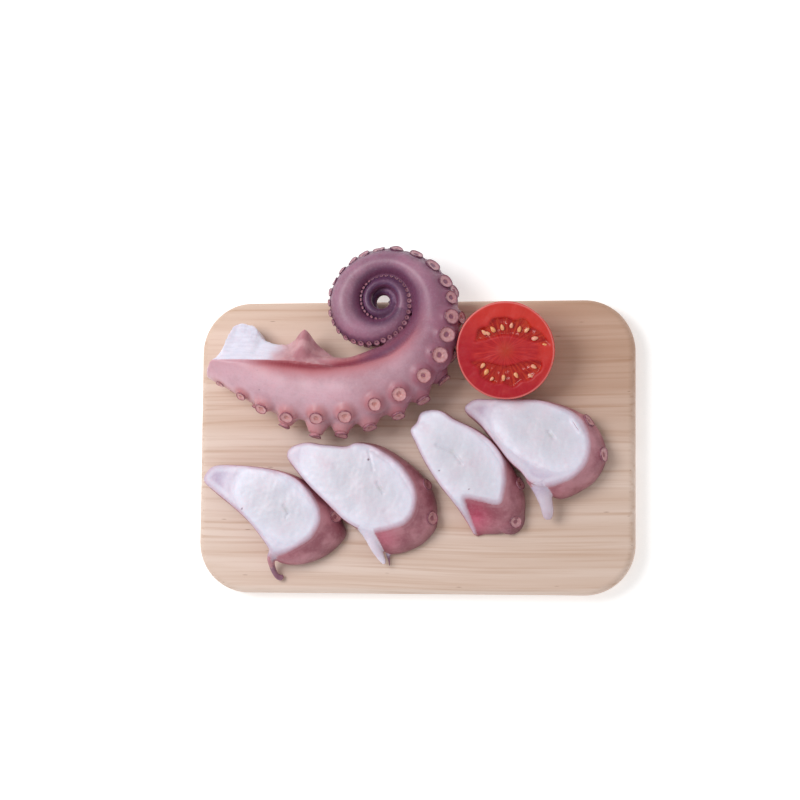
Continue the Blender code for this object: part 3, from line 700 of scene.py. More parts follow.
def skinMaterial():
    made, tree, shader = newMaterial("cookedSkin", Roughness=0.42)
    shader.inputs["Specular IOR Level"].default_value = 0.42
    shader.inputs["Subsurface Weight"].default_value = 0.22
    shader.inputs["Subsurface Radius"].default_value = (1.0, 0.45, 0.4)
    shader.inputs["Subsurface Scale"].default_value = 0.0022
    shader.inputs["Coat Weight"].default_value = 0.12
    shader.inputs["Coat Roughness"].default_value = 0.28
    place = objectPlace(tree)
    tone, up, out = value(tree, "tone"), value(tree, "up"), value(tree, "out")
    run, fold = value(tree, "run"), value(tree, "fold")
    flesh, stalk, webbing = value(tree, "flesh"), value(tree, "stalk"), value(tree, "webbing")
    suckerHollowShade = value(tree, "suckerHollowShade")
    skin = ramp(tree, tone, (0.0, hue(206, 167, 179)), (0.04, hue(196, 155, 167)), (0.12, hue(180, 134, 147)),
                (0.3, hue(182, 142, 156)), (0.45, hue(156, 110, 129)), (0.62, hue(142, 95, 118)),
                (0.8, hue(150, 106, 127)), (0.9, hue(138, 94, 119)), (1.0, hue(120, 80, 110)))
    # redder and darker down towards the suckers
    low = ramp(tree, tone, (0.0, hue(196, 148, 152)), (0.12, hue(172, 118, 128)), (0.36, hue(148, 98, 116)),
               (0.6, hue(132, 82, 106)), (1.0, hue(100, 58, 88)))
    under = calc(tree, "MULTIPLY", ease(tree, up, 0.72, -0.1), ease(tree, out, 0.1, 0.6))
    patch = grain(tree, place, 110.0, 3.0)
    under = calc(tree, "MULTIPLY", under, ease(tree, patch, 0.25, 0.6, 0.55, 1.0), clamp=True)
    skin = mix(tree, under, skin, low)
    # painted shade: coil turns go violet where they sink against each other
    valleyShade = calc(tree, "MULTIPLY", ease(tree, up, 0.86, 0.15), ease(tree, tone, 0.6, 0.95))
    skin = mix(tree, calc(tree, "MULTIPLY", valleyShade, 0.75), skin, hue(92, 54, 84))
    # painted shade on the inner side of the turns, facing into the coil
    inwardShade = calc(tree, "MULTIPLY", ease(tree, out, -0.1, -0.82), ease(tree, tone, 0.3, 0.6))
    skin = mix(tree, calc(tree, "MULTIPLY", inwardShade, 0.75), skin, hue(86, 50, 80))
    # the inner turns stay dark on top
    skin = mix(tree, ease(tree, tone, 0.93, 1.0, 0.0, 0.55), skin, hue(96, 62, 92))
    # painted light: a paler, greyer band on the upper side of the broad lobe and along the middle of the thick end
    pale = calc(tree, "MULTIPLY", ease(tree, up, 0.7, 0.95), ease(tree, patch, 0.3, 0.6, 0.3, 0.8))
    pale = calc(tree, "MULTIPLY", pale, ease(tree, tone, 0.9, 0.78))
    skin = mix(tree, calc(tree, "MULTIPLY", pale, 0.5), skin,
               ramp(tree, tone, (0.0, hue(206, 176, 188)), (0.3, hue(176, 138, 152)), (0.5, hue(146, 100, 120)), (0.68, hue(138, 92, 116)),
                    (0.8, hue(168, 130, 148)), (0.9, hue(150, 108, 130))))
    # painted shade down the inner wall of the innermost turns, in the funnel of the coil's eye
    deep = calc(tree, "MULTIPLY", ease(tree, out, 0.1, -0.6), ease(tree, tone, 0.92, 0.98))
    skin = mix(tree, calc(tree, "MULTIPLY", deep, 0.75), skin, hue(66, 42, 80))
    # painted shade: darkest where one turn of the coil lies against the next
    skin = mix(tree, calc(tree, "MULTIPLY", value(tree, "coilContactShade"), 0.9), skin, hue(84, 44, 78))
    # mottling
    blotch = grain(tree, place, 60.0, 4.0, 0.6)
    skin = mix(tree, ease(tree, blotch, 0.42, 0.7, 0.0, 0.30), skin, hue(226, 196, 204), "SOFT_LIGHT")
    skin = mix(tree, ease(tree, blotch, 0.55, 0.28, 0.0, 0.22), skin, hue(168, 110, 128), "MULTIPLY")
    pores = grain(tree, place, 800.0, 2.0, 0.6)
    skin = mix(tree, ease(tree, pores, 0.45, 0.8, 0.0, 0.08), skin, hue(226, 200, 208))
    skin = mix(tree, ease(tree, pores, 0.5, 0.25, 0.0, 0.10), skin, hue(140, 88, 104))
    # dark red crease where the web leaves the arm, with a pink flush round it; the dark line in the fold is painted
    # shade over the redder skin there
    force = value(tree, "crease")
    flush = calc(tree, "MULTIPLY", calc(tree, "EXPONENT", calc(tree, "MULTIPLY",
                 calc(tree, "POWER", calc(tree, "DIVIDE", fold, 7.0), 2.0), -1.0)), 0.9)
    skin = mix(tree, calc(tree, "MULTIPLY", flush, ease(tree, force, 0.0, 0.7)), skin, hue(182, 98, 104))
    sharp = calc(tree, "EXPONENT", calc(tree, "MULTIPLY",
                 calc(tree, "POWER", calc(tree, "DIVIDE", fold, 2.2), 2.0), -1.0))
    skin = mix(tree, calc(tree, "MULTIPLY", sharp, ease(tree, force, 0.1, 0.8)), skin,
               ramp(tree, tone, (0.0, hue(142, 46, 58)), (0.1, hue(126, 40, 62)), (0.2, hue(104, 36, 68)),
                    (0.4, hue(90, 44, 78))))
    # painted shade: dusky beyond the crease, towards the coil
    duskShade = calc(tree, "MULTIPLY", ease(tree, out, -0.45, -0.75), ease(tree, tone, 0.1, 0.2))
    skin = mix(tree, calc(tree, "MULTIPLY", duskShade, 0.7), skin, hue(112, 60, 88))
    # stalks
    stem = ramp(tree, tone, (0.0, hue(202, 150, 156)), (0.2, hue(176, 118, 132)), (0.45, hue(146, 94, 116)),
                (0.7, hue(132, 84, 108)), (1.0, hue(104, 60, 92)))
    skin = mix(tree, ease(tree, stalk, 0.2, 2.6, 0.0, 0.9), skin, stem)
    # painted shade in the hollows round each sucker, over a redder skin there
    skin = mix(tree, calc(tree, "MULTIPLY", suckerHollowShade, ease(tree, blotch, 0.3, 0.6, 0.35, 0.8)), skin,
               ramp(tree, tone, (0.0, hue(186, 120, 124)), (0.3, hue(156, 90, 106)), (0.6, hue(132, 78, 102)),
                    (1.0, hue(88, 50, 82))))
    # web flap
    flap = mix(tree, ease(tree, patch, 0.35, 0.65), hue(196, 146, 152), hue(172, 112, 122))
    skin = mix(tree, webbing, skin, flap)
    # a few dark specks
    spot = cells(tree, place, 95.0)
    picked = put(tree, "SeparateColor")
    feed(tree, picked.inputs[0], spot.outputs["Color"])
    speck = calc(tree, "MULTIPLY", ease(tree, spot.outputs["Distance"], 0.085, 0.03),
                 ease(tree, picked.outputs[1], 0.955, 0.96, 0.0, 0.75))
    skin = mix(tree, speck, skin, hue(88, 48, 70))
    # cut flesh
    fibre = grain(tree, scaled(tree, place, (160, 420, 420)), 1.0, 3.0)
    meat = mix(tree, ease(tree, fibre, 0.3, 0.7), hue(212, 208, 224), hue(222, 218, 233))
    meat = mix(tree, ease(tree, patch, 0.5, 0.75, 0.0, 0.3), meat, hue(200, 192, 211))
    skin = mix(tree, flesh, skin, meat)
    feed(tree, shader.inputs["Base Color"], skin)
    feed(tree, shader.inputs["Roughness"], ease(tree, pores, 0.3, 0.7, 0.36, 0.5))
    # cross folds follow the run of the arm
    wrap = put(tree, "CombineXYZ")
    feed(tree, wrap.inputs[0], calc(tree, "MULTIPLY", run, 0.42))
    feed(tree, wrap.inputs[1], calc(tree, "MULTIPLY", up, 1.1))
    feed(tree, wrap.inputs[2], out)
    folds = grain(tree, wrap.outputs[0], 1.0, 2.0, 0.5)
    folds = calc(tree, "MULTIPLY", folds, ease(tree, up, 1.0, 0.5, 0.25, 1.0))
    bump = relief(tree, folds, 0.35, 0.0012)
    bump = relief(tree, pores, 0.22, 0.0003, bump)
    feed(tree, shader.inputs["Normal"], bump)
    return made


def makeArm(places):
    bm = bmesh.new()
    samples = addTube(bm)
    addStalks(bm, places)
    addSheet(bm)
    bm = fused(bm, arm["voxel"], 4)
    print("arm fused,", len(bm.verts), "points")
    tree = KDTree(len(samples))
    for n, sample in enumerate(samples):
        tree.insert(sample[0], n)
    tree.balance()
    cupTree = KDTree(len(places))
    for n, p in enumerate(places):
        cupTree.insert(p["face"], n)
    cupTree.balance()
    startCentre, startForward, _out, _up = armFrame(arm["start"])
    # the crease as seen from above, with how strong it is
    foldRun = []
    for (x, y, force), (nextX, nextY, nextForce) in zip(arm["crease"], arm["crease"][1:]):
        foldRun += [(Vector((x + (nextX - x) * k / 12, y + (nextY - y) * k / 12, 0)),
                     force + (nextForce - force) * k / 12) for k in range(12)]
    foldTree = KDTree(len(foldRun))
    for n, (at, _force) in enumerate(foldRun):
        foldTree.insert(at, n)
    foldTree.balance()
    tones = {}

    def reader(point, _vert):
        found = tree.find_n(point, 4)
        weights = [1 / (gap + 0.15) for _co, _n, gap in found]
        total = sum(weights)
        rows = [samples[n] for _co, n, _gap in found]

        def blended(column):
            return sum(w * row[column] for w, row in zip(weights, rows)) / total

        angle = rows[0][1]
        if angle not in tones:
            tones[angle] = keyed(arm["tone"], angle)
        tone = tones[angle]
        run, cosine, sine = (blended(c) for c in (2, 3, 4))
        _at, n, fold = foldTree.find((point.x, point.y, 0))
        force = foldRun[n][1] * fade(point.z, 30, 36)
        gap = found[0][2]
        flesh, onWeb = 0.0, 0.0
        if point.x < sheet["to"] and point.y > 44 and angle < arm["baseEnd"]:
            level, share = sheetHeight(point.x, point.y)
            on = fade(share, 0.0, 0.02) * fade(point.z - level, -3.2 if share > 0.9 else -1.6, -0.6)
            on = max(on, fade(share, 0.93, 0.99) * fade(point.y, 50, 52))
            white = fade(point.x + 2.5 * noise.noise(point * 0.2) - 3 * share, sheet["pinkFrom"], sheet["whiteTo"])
            flesh, onWeb = on * white, on * (1 - white) * fade(point.x, -40, -54)
        if angle < arm["baseEnd"] and point.y > keyed(sheet["ridge"], point.x) + 0.8:
            flesh = max(flesh, fade(point.x, -88, -91))
        flesh = max(flesh, fade(startForward.dot(point - startCentre), 0.5, 0.1))
        stem = gap if cosine > 0 and flesh < 0.5 else 0.0
        _co, n, gap = cupTree.find(point)
        # painted shade in the hollows round the suckers
        suckerHollowShade = fade(gap / places[n]["radius"], 2.5, 1.15) * fade(cosine, -0.2, 0.2) * (1 - flesh)
        # painted shade where the coil's turns lie close together
        coilContactShade = 0.0
        for other in (angle + 360, angle - 360):
            if 540 < max(angle, other) < 1060:
                apart = (Vector((point.x, point.y)) - armAxis(other).xy).length - keyed(arm["halfWidth"], other)
                coilContactShade = max(coilContactShade, fade(apart, 7.5, 1.5))
        return run, tone, cosine, sine, fold, force, flesh, stem, onWeb, suckerHollowShade, coilContactShade

    setValues(bm, ("run", "tone", "out", "up", "fold", "crease", "flesh", "stalk", "webbing", "suckerHollowShade",
                   "coilContactShade"), reader)
    return finish("octopusArm", bm, skinMaterial(), "octopus_arm")


def suckerMaterial():
    made, tree, shader = newMaterial("suckerCups", Roughness=0.4)
    shader.inputs["Specular IOR Level"].default_value = 0.45
    shader.inputs["Subsurface Weight"].default_value = 0.2
    shader.inputs["Subsurface Radius"].default_value = (1.0, 0.45, 0.4)
    shader.inputs["Subsurface Scale"].default_value = 0.0015
    shader.inputs["Coat Weight"].default_value = 0.15
    shader.inputs["Coat Roughness"].default_value = 0.25
    place = objectPlace(tree)
    cup, tone, tint = value(tree, "cup"), value(tree, "tone"), value(tree, "tint")
    fresh = ramp(tree, cup, (0.0, hue(174, 110, 106)), (0.17, hue(192, 132, 126)), (0.30, hue(184, 122, 120)),
                 (0.40, hue(198, 142, 142)), (0.50, hue(204, 152, 152)), (0.78, hue(196, 142, 146)),
                 (0.86, hue(170, 104, 110)), (0.93, hue(124, 62, 78)), (1.0, hue(130, 70, 88)))
    # darker cups, used along the coil and, as painted shade, on the downward-facing lower row
    darkCups = ramp(tree, cup, (0.0, hue(146, 90, 106)), (0.17, hue(158, 104, 118)), (0.30, hue(146, 90, 110)),
                (0.40, hue(170, 118, 132)), (0.50, hue(176, 126, 138)), (0.78, hue(164, 112, 128)),
                (0.86, hue(118, 64, 90)), (0.93, hue(80, 36, 64)), (1.0, hue(80, 38, 68)))
    colour = mix(tree, tint, fresh, darkCups)
    outside = ramp(tree, tone, (0.0, hue(196, 142, 150)), (0.4, hue(140, 88, 110)), (1.0, hue(92, 48, 84)))
    colour = mix(tree, ease(tree, cup, 1.02, 1.22), colour, outside)
    mottle = grain(tree, place, 700.0, 3.0)
    colour = mix(tree, ease(tree, mottle, 0.4, 0.7, 0.0, 0.2), colour, hue(228, 190, 192))
    colour = mix(tree, ease(tree, mottle, 0.5, 0.28, 0.0, 0.2), colour, hue(132, 70, 84))
    feed(tree, shader.inputs["Base Color"], colour)
    feed(tree, shader.inputs["Normal"], relief(tree, mottle, 0.25, 0.0003))
    return made


def addSucker(bm, p, layers, steps, profile, tint):
    r = p["radius"]
    side = p["forward"].cross(p["normal"]).normalized()
    turn = Matrix((p["normal"].cross(side), side, p["normal"])).transposed().to_4x4()
    size = Matrix.Diagonal((p["oval"] * r * mm, r * mm, r * mm, 1))
    placed = turned(bm, profile, steps, Matrix.Translation(p["face"] * mm) @ turn @ size)
    wave = p["angle"] * 1.7
    for v, local in placed:
        across, height = math.hypot(local.x, local.y), local.z
        around = math.atan2(local.y, local.x)
        outside = height < -0.1 and across > 0.7 or height < -0.5
        v[layers[0]] = 1 + max(-height, 0.0) if outside else across
        v[layers[1]] = p["tone"]
        v[layers[2]] = tint
        # rims are never quite round or flat
        wobble = 0.05 * math.sin(2 * around + wave) + 0.035 * math.sin(3 * around + 2.3 * wave)
        v.co += p["normal"] * (wobble * across * r * mm)
    return placed


def makeArmSuckers(places):
    bm = bmesh.new()
    layers = [bm.verts.layers.float.new(name) for name in ("cup", "tone", "tint")]
    for p in places:
        p["tone"] = keyed(arm["tone"], p["angle"])
        r = p["radius"]
        big = r > 2.4
        steps = 28 if big else 16 if r > 1.3 else 10
        # cups darken from 290 to 540 degrees round the coil; the lower row is darkened further as painted shade
        tint = fade(p["angle"], 290, 380) * 0.75 + fade(p["angle"], 430, 540) * 0.25
        if p["upper"] is False:
            tint = min(tint + 0.25, 1.0)
        addSucker(bm, p, layers, steps, suckers["profile"] if r > 1.3 else suckers["smallProfile"], tint)
    return finish("armSuckers", bm, suckerMaterial(), "octopus_arm")


armSuckerPlaces = suckerPlaces()
makeArm(armSuckerPlaces)
makeArmSuckers(armSuckerPlaces)


# outlines on top and at the foot go round together; tails are (x, y, height, half width, half thickness)
slices = {
    "firstSlice": {
        "node": "slice_1",
        "centre": (-84.0, -45.0), "height": 20.0, "slope": (0.0, 0.0),
        "outline": (
            (-40, 24), (-38.2, 29.5), (-32, 33), (-12, 32.3), (5.5, 29.5), (17, 24.5), (24.5, 16),
            (29.5, 6.5), (29.5, -1.5), (25, -9), (16, -15), (8.5, -18.5), (3.5, -19), (-1, -13),
            (-11, -0.5), (-22.5, 10), (-33.5, 18.5),
        ),
        "foot": (
            (-37.5, 22.5), (-36.5, 27), (-31, 31), (-11, 31), (7, 28), (19, 24), (30, 14.5),
            (40, 3.5), (45, -5.5), (42.5, -12), (32, -21), (18, -25.5), (6, -23.5), (1, -15.5),
            (-9.5, -2.5), (-21, 8), (-32, 16.5),
        ),
        "tails": (
            (1.0, ((6, -14, 15.5, 4.5, 4), (3.2, -18.5, 15.2, 3.2, 4), (0.9, -22, 12.5, 2.1, 3.6),
             (0.5, -26, 7, 1.8, 2.6), (1.6, -30, 4.6, 1.7, 2), (3.8, -33.2, 3, 1.6, 1.7),
             (5.6, -33.6, 2.6, 1.4, 1.5), (5.7, -31.2, 3.2, 1.1, 1.2))),
        ),
        "suckers": ((-47.0, -42.2, 9.0, (0.72, 0.1, 0.68), 4.1),),
        "muscle": (4.0, 9.0, 28.5, 17.0, -38.0), "core": (10.9, 6.9),
        "wing": (-38.0, 30.0, 6.0),
        "creases": ((9.5, 9.0, 12.5, 4.5, 0.6, 0.8), (12.5, 4.5, 11.0, 2.0, 0.5, 0.5)),
        "notch": (8.0, -20.0, 9.0, 0.25),
        "spots": ((-15.4, 7.1, 0.7),),
    },
    "secondSlice": {
        "node": "slice_2",
        "centre": (-30.0, -31.0), "height": 20.0, "slope": (0.0, -0.03),
        "outline": (
            (-44, 24.5), (-41.5, 30), (-32, 32.5), (-22, 31), (-8, 30), (-2, 32), (9, 29.5),
            (21.5, 21), (29, 12), (33, 2.5), (32, -7.5), (27.5, -14), (19, -17.5), (10, -19.5),
            (4, -18.5), (-2, -17), (-9.5, -12), (-19.5, -2.5), (-29.5, 7), (-38.5, 17),
        ),
        "foot": (
            (-42, 23), (-40, 28), (-31, 30.5), (-21, 29.5), (-7, 29), (0, 31.5), (13, 29),
            (27, 20.5), (38, 11), (44, 0), (45, -12), (41, -23), (31, -30.5), (17, -33.5),
            (8, -25), (0, -17.5), (-7.5, -13.5), (-18, -4), (-28, 5.5), (-37, 15.5),
        ),
        "tails": (
            (0.0, ((0, -12, 15.5, 6, 4), (4.5, -17.5, 15.6, 5, 4), (7, -23, 14, 4, 3.8),
             (9.2, -29, 11.5, 3.2, 3.2), (11.8, -34.5, 8, 2.4, 2.2), (13.8, -38.4, 5.6, 1.3, 1.5))),
            (1.3, ((15, -32, 3, 1.5, 1.8), (15.8, -36, 2.2, 0.9, 1), (16.2, -40, 1.8, 0.5, 0.6))),
        ),
        "suckers": ((9.6, -22.5, 10.5, (0.84, 0.42, 0.34), 4.2), (13.2, -42.5, 10.0, (0.84, 0.05, 0.54), 4.7)),
        "muscle": (-2.0, 9.0, 40.0, 20.5, -37.0), "core": (12.8, 5.3),
        "wing": (-42.0, 29.0, 5.0),
        "creases": ((11.0, 8.5, 14.5, 2.5, 0.7, 0.8), (5.6, 27.7, 8.5, 16.0, 0.8, 0.5)),
        "notch": (15.0, -24.0, 8.0, 0.55),
        "spots": ((5.7, 22.2, 0.9),),
    },
    "thirdSlice": {
        "node": "slice_3",
        "centre": (32.0, -15.0), "height": 20.0, "slope": (0.0, 0.0),
        "outline": (
            (-32, 23.7), (-28.5, 28), (-25.3, 34.3), (-15, 35), (-6.8, 30), (6, 23.8), (15.8, 16.5),
            (21.9, 8), (23.5, 0), (23.2, -9), (21.8, -16), (19, -18.5), (9.5, -17), (0, -16),
            (2.2, -26), (4.8, -36.6), (0.4, -29), (-5.5, -19.5), (-14.3, -8.5), (-22.7, 4.2),
            (-29, 16.8),
        ),
        "foot": (
            (-29.5, 22), (-27, 26.5), (-24, 32), (-14, 33), (-5.5, 28.5), (7, 22.5), (16.5, 14.5),
            (24.3, 4), (31.5, -7.5), (35, -16.5), (34.5, -27), (30, -34), (21, -37.5), (10, -38),
            (6, -38), (4.8, -37.6), (1.2, -29.5), (-4.2, -20), (-12.5, -9.5), (-21, 2.8),
            (-27.2, 15),
        ),
        "tails": (),
        "suckers": ((64.0, -22.0, 9.5, (0.86, 0.36, 0.36), 4.2), (61.6, -44.6, 9.0, (0.56, -0.24, 0.79), 4.1)),
        "muscle": (-3.0, 6.0, 38.0, 18.0, -48.0), "core": (-6.7, 10.7),
        "wing": (-30.0, 33.0, 3.0),
        "creases": ((-16.0, 14.6, -8.0, 11.2, 0.9, 0.7), (-6.7, 10.7, -1.3, 3.9, 0.9, 0.6)),
        "notch": (5.5, -27.0, 10.0, 1.0),
        "spots": ((-14.5, -0.4, 0.6), (3.2, -11.1, 0.6)),
    },
    "fourthSlice": {
        "node": "slice_4",
        "centre": (74.0, -4.5), "height": 19.0, "slope": (0.0, -0.16),
        "outline": (
            (-43, 26), (-41, 30), (-36, 32), (-28, 31.5), (-14, 31.5), (1.5, 30.5), (13, 26.5),
            (22.5, 21), (28, 13.5), (30, 5.5), (29.5, -2.5), (26, -9), (19.5, -14.5), (10, -18.5),
            (2.5, -19.5), (-4, -17), (-9, -11), (-16, -4.5), (-24, 5.5), (-33.5, 17),
        ),
        "foot": (
            (-41.5, 24), (-39.5, 28), (-35, 30), (-27, 29.8), (-13, 30), (3, 29.8), (16, 27),
            (26, 22.5), (34, 16), (39, 7), (40.5, -2), (37.2, -11.5), (30, -19.5), (14, -27),
            (5, -21.5), (-2.5, -17), (-7.5, -11.5), (-14.5, -5.5), (-22.5, 4), (-32, 15.5),
        ),
        "tails": (
            (0.25, ((0, -14, 15.5, 7, 4), (2, -19, 15.3, 5.6, 4), (3.8, -24.5, 13.6, 4.6, 3.8),
             (5.4, -30, 11.5, 4.0, 3.0), (6, -35, 9.5, 3.5, 2.4), (6.1, -38.2, 7.5, 2.4, 1.6))),
        ),
        "suckers": ((105.0, 15.4, 11.0, (0.78, 0.56, 0.3), 4.6), (111.8, -5.4, 9.5, (0.92, 0.08, 0.38), 4.8)),
        "muscle": (2.0, 12.0, 31.0, 18.5, -33.0), "core": (8.4, 10.0),
        "wing": (-43.0, 28.0, 8.0),
        "creases": ((7.0, 12.0, 10.0, 8.0, 0.9, 0.8),),
        "notch": (10.0, -21.0, 8.0, 0.2),
        "spots": (),
    },
}

sliceShape = {
    "splineSteps": 6,
    "levels": 12,
    "voxel": 0.6,
    "softening": 7,
    "suckerStand": 0.9,
    "bulge": 2.2,
    "tuck": 1.2,
    "tailRoot": -17.0,
    "tailTip": -36.0,
    "tailHeight": 0.3,
    "tailSides": 16,
    "tailSteps": 26,
}


def outlineCurve(points, steps):
    smooth, count = [], len(points)
    for index in range(count):
        p0, p1, p2, p3 = (Vector(points[(index + k) % count]) for k in (-1, 0, 1, 2))
        for step in range(steps):
            t = step / steps
            smooth.append(0.5 * (2 * p1 + (p2 - p0) * t + (2 * p0 - 5 * p1 + 4 * p2 - p3) * t**2
                                 + (3 * p1 - p0 - 3 * p2 + p3) * t**3))
    return smooth


def topLevel(plan, x, y):
    rise = plan["height"] + plan["slope"][0] * x + plan["slope"][1] * y
    rise *= 1 - (1 - sliceShape["tailHeight"]) * fade(y, sliceShape["tailRoot"], sliceShape["tailTip"])
    wingX, wingY, drop = plan["wing"]
    return boardTop + rise - drop * hump(math.hypot(x - wingX, y - wingY), 13.0)


def gapToLine(x, y, x0, y0, x1, y1):
    dx, dy = x1 - x0, y1 - y0
    t = min(max(((x - x0) * dx + (y - y0) * dy) / (dx * dx + dy * dy), 0), 1)
    return math.hypot(x - x0 - dx * t, y - y0 - dy * t)


def muscleShare(plan, x, y):
    # 0 in the middle of the muscle bundle, 1 on its rim
    cx, cy, rx, ry, turn = plan["muscle"]
    turn = math.radians(turn)
    dx, dy = x - cx, y - cy
    a = (dx * math.cos(turn) + dy * math.sin(turn)) / rx
    b = (dy * math.cos(turn) - dx * math.sin(turn)) / ry
    return (abs(a) ** 2.3 + abs(b) ** 2.3) ** (1 / 2.3)


def addSliceBody(bm, plan):
    # rings run from the foot up to the top; returns (point, level share, outline share, way out)
    top = outlineCurve(plan["outline"], sliceShape["splineSteps"])
    foot = outlineCurve(plan["foot"], sliceShape["splineSteps"])
    centre = Vector(plan["centre"])
    count, levels = len(top), sliceShape["levels"]
    bmesh.ops.create_grid(bm, x_segments=count, y_segments=levels, size=1.0)
    samples = []
    for v in bm.verts:
        n = round((v.co.x + 1) / 2 * count) % count
        share = (v.co.y + 1) / 2
        along = (top[(n + 1) % count] - top[n - 1]).normalized()
        sideways = Vector((-along.y, along.x))
        swell = sliceShape["bulge"] * math.sin(math.pi * share) - sliceShape["tuck"] * (1 - share) ** 4
        reach = min((top[n] - foot[n]).length / 6, 1.0)
        flat = foot[n] + (top[n] - foot[n]) * share**1.25 + sideways * (swell * (0.25 + 0.75 * reach))
        z = footLevel + (topLevel(plan, *top[n]) - footLevel) * share
        v.co = Vector((centre.x + flat.x, centre.y + flat.y, z)) * mm
        samples.append((v.co / mm, share, n / count, sideways))
    bmesh.ops.remove_doubles(bm, verts=bm.verts, dist=1e-6)
    bmesh.ops.holes_fill(bm, edges=[e for e in bm.edges if e.is_boundary], sides=0)
    bmesh.ops.triangulate(bm, faces=[f for f in bm.faces if len(f.verts) > 4])
    bmesh.ops.recalc_face_normals(bm, faces=bm.faces)
    return samples


def addTail(bm, plan, tint, tail):
    # a limp strip of skin along its own middle line; returns (point, half width, run, tint)
    steps, sides = sliceShape["tailSteps"], sliceShape["tailSides"]
    columns = [tuple((k, row[column]) for k, row in enumerate(tail)) for column in range(5)]

    def middle(at):
        x, y, z, _wide, _thick = (keyed(column, at) for column in columns)
        return Vector((plan["centre"][0] + x, plan["centre"][1] + y, boardTop + z))

    made = bmesh.new()
    bmesh.ops.create_grid(made, x_segments=steps, y_segments=sides, size=1.0)
    for v in made.verts:
        at = (v.co.x + 1) / 2 * (len(tail) - 1)
        around = round((v.co.y + 1) / 2 * sides) * math.tau / sides
        along = (middle(at + 0.02) - middle(at - 0.02)).normalized()
        across = along.cross(upAxis).normalized()
        wide, thick = keyed(columns[3], at), keyed(columns[4], at)
        point = middle(at) + across * (wide * math.cos(around)) + across.cross(along) * (thick * math.sin(around))
        point.z = softFloor(point.z, footLevel)
        v.co = point * mm
    bmesh.ops.remove_doubles(made, verts=made.verts, dist=1e-6)
    bmesh.ops.holes_fill(made, edges=[e for e in made.edges if e.is_boundary], sides=0)
    bmesh.ops.recalc_face_normals(made, faces=made.faces)
    mesh = bpy.data.meshes.new("tail")
    made.to_mesh(mesh)
    made.free()
    bm.from_mesh(mesh)
    bpy.data.meshes.remove(mesh)
    count = 4 * (len(tail) - 1)
    return [(middle(k / 4), keyed(columns[3], k / 4), k / count, tint) for k in range(count + 1)]


def slicePlaces(plan, wall):
    places = []
    for n, (x, y, z, facing, radius) in enumerate(plan["suckers"]):
        normal = Vector(facing).normalized()
        face = Vector((x, y, z + boardTop))
        hit = wall.ray_cast((face + normal * 12) * mm, -normal, 30 * mm)[0]
        face = hit / mm + normal * sliceShape["suckerStand"]
        places.append({"angle": 40.0 * n + x, "normal": normal, "forward": normal.cross(upAxis).normalized(),
                       "root": face - normal * 6, "face": face, "upper": True, "tone": 0.3,
                       "radius": radius, "oval": 0.92})
    return places


